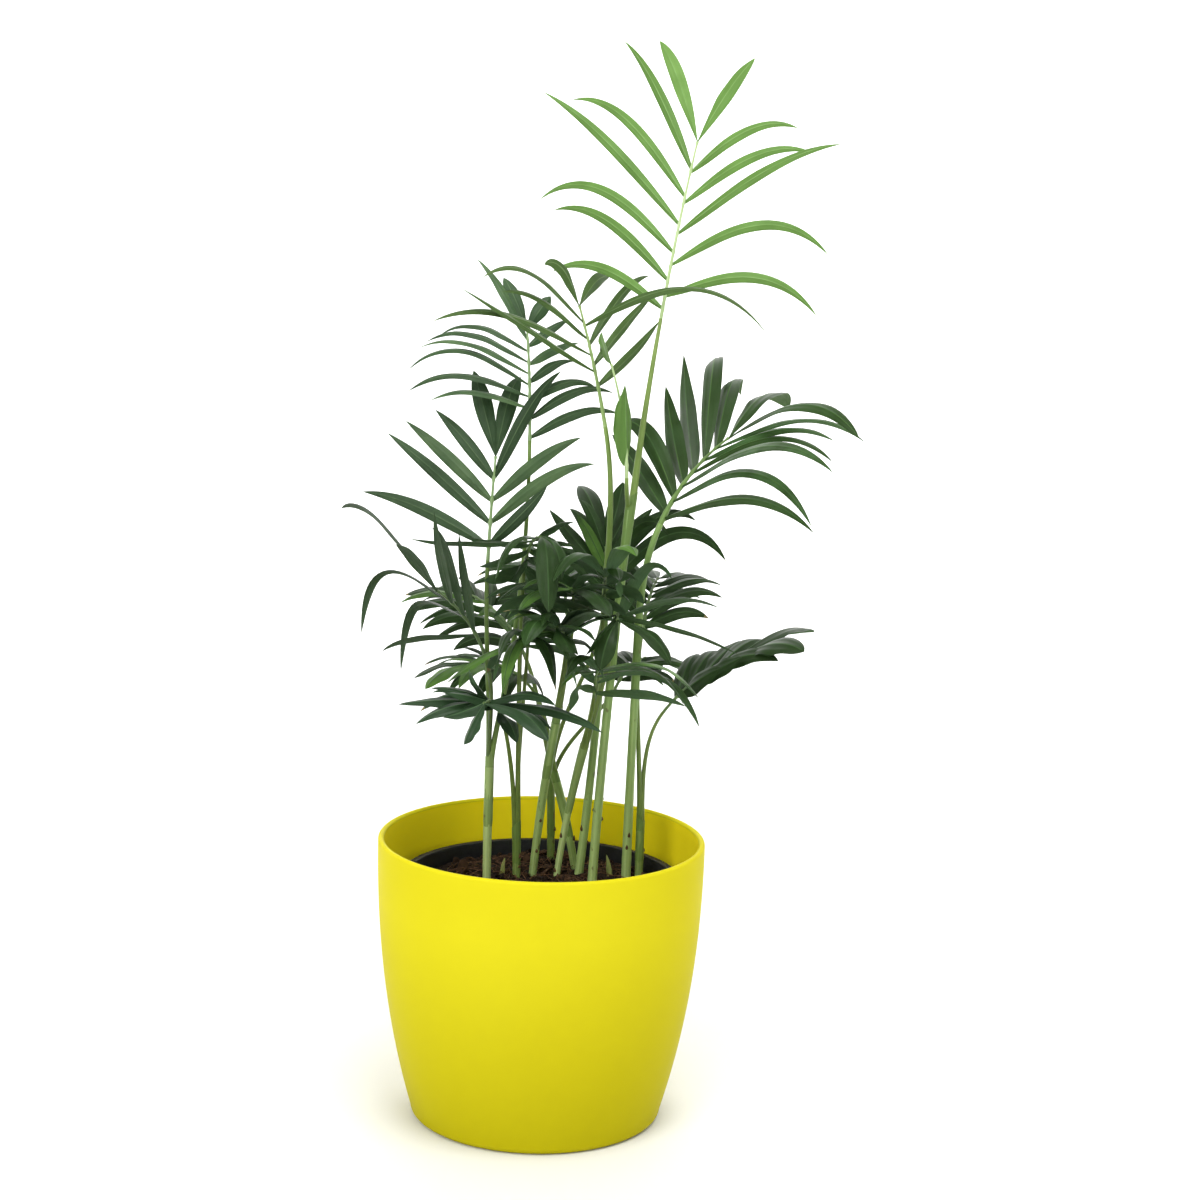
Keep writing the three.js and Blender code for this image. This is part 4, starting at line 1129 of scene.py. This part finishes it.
def make_fronds():
    """Every frond with its stalk, and smaller leaflets in the dense ones."""
    draw = np.random.default_rng(LEAF_SEED)
    leaflets = {frond.name: packed_leaflets(frond) for frond in FRONDS}
    crowd = [leaflet_spine(leaflet, tilt, CAD_STEPS)[0][4::2]
             for row in leaflets.values() for leaflet, tilt in row]
    leaf_sets = {name: leaf_set(name, shade) for name, shade in SHADES.items()}
    ribs = {name: [green_finish(f"stalk {name}", *shade.stalk.split(), STALK),
                   green_finish(f"rachis {name}", *shade.rachis.split(), STALK)]
            for name, shade in SHADES.items()}
    for frond in FRONDS:
        own = leaflets[frond.name]
        if frond.name in DENSE:
            own += extra_leaflets(frond, crowd, draw)
        make_frond(frond, own, draw, leaf_sets[frond.shade], ribs[frond.shade])


# ---- floor, lights, camera

FLOOR_REACH = 2200
WALL_CURVE = 800
WALL_TOP = 2600
WHITE = (1.0, 1.0, 1.0, 1.0)
WORLD_STRENGTH = 0.5
PLANT_MIDDLE = (0.0, 0.0, 0.22)
CAMERA_PLACE = (0.025, -1.2, 0.4719)
CAMERA_PITCH = 0.176
CAMERA_ROLL = 0.030
CAMERA_LENS = 75.9
SENSOR_WIDTH = 36.0


def make_floor():
    profile = [[1, 0], [FLOOR_REACH / 2, 0]]
    profile += arc([FLOOR_REACH, WALL_CURVE], WALL_CURVE, -90, 0, 24)
    profile += [[FLOOR_REACH + WALL_CURVE, WALL_TOP]]
    shape = Shape()
    shape.add_tube(turned(profile, 96), open_top=True)
    finish = plain_finish("pale floor", "f2f2f1", "f0f0ef", 0.8, 3, 0.0001, 0.1)
    shape.made("floor", [finish], 80)


def make_light(name, place, aim, size, power):
    """A round lamp that faces its aim; places and sizes in metres, power in watts."""
    light = bpy.data.lights.new(name, "AREA")
    light.shape = "DISK"
    light.size = size
    light.energy = power
    lamp = placed(name, light)
    lamp.location = place
    lamp.rotation_euler = (Vector(aim) - Vector(place)).to_track_quat("-Z", "Y").to_euler()


def make_lights():
    world = bpy.data.worlds.new("studio")
    world.use_nodes = True
    sky = world.node_tree.nodes["Background"]
    sky.inputs["Color"].default_value = WHITE
    sky.inputs["Strength"].default_value = WORLD_STRENGTH
    bpy.context.scene.world = world
    make_light("key", (-0.95, -1.4, 1.1), PLANT_MIDDLE, 1.0, 13)
    make_light("top", (0.25, -0.55, 1.8), PLANT_MIDDLE, 0.9, 17.5)
    make_light("backdrop", (0.0, 1.3, 2.0), (0.0, 2.9, 0.7), 1.6, 75)


def make_camera():
    camera = placed("camera", bpy.data.cameras.new("camera"))
    camera.data.lens = CAMERA_LENS
    camera.data.sensor_width = SENSOR_WIDTH
    camera.data.clip_start = 0.01
    camera.matrix_world = (Matrix.Translation(CAMERA_PLACE)
                           @ Matrix.Rotation(math.pi / 2 - CAMERA_PITCH, 4, "X")
                           @ Matrix.Rotation(CAMERA_ROLL, 4, "Z"))
    bpy.context.scene.camera = camera


make_camera()
make_planter()
make_nursery_pot()
make_soil()
make_stems()
make_fronds()
make_floor()
make_lights()
bpy.context.scene.view_settings.view_transform = "Standard"
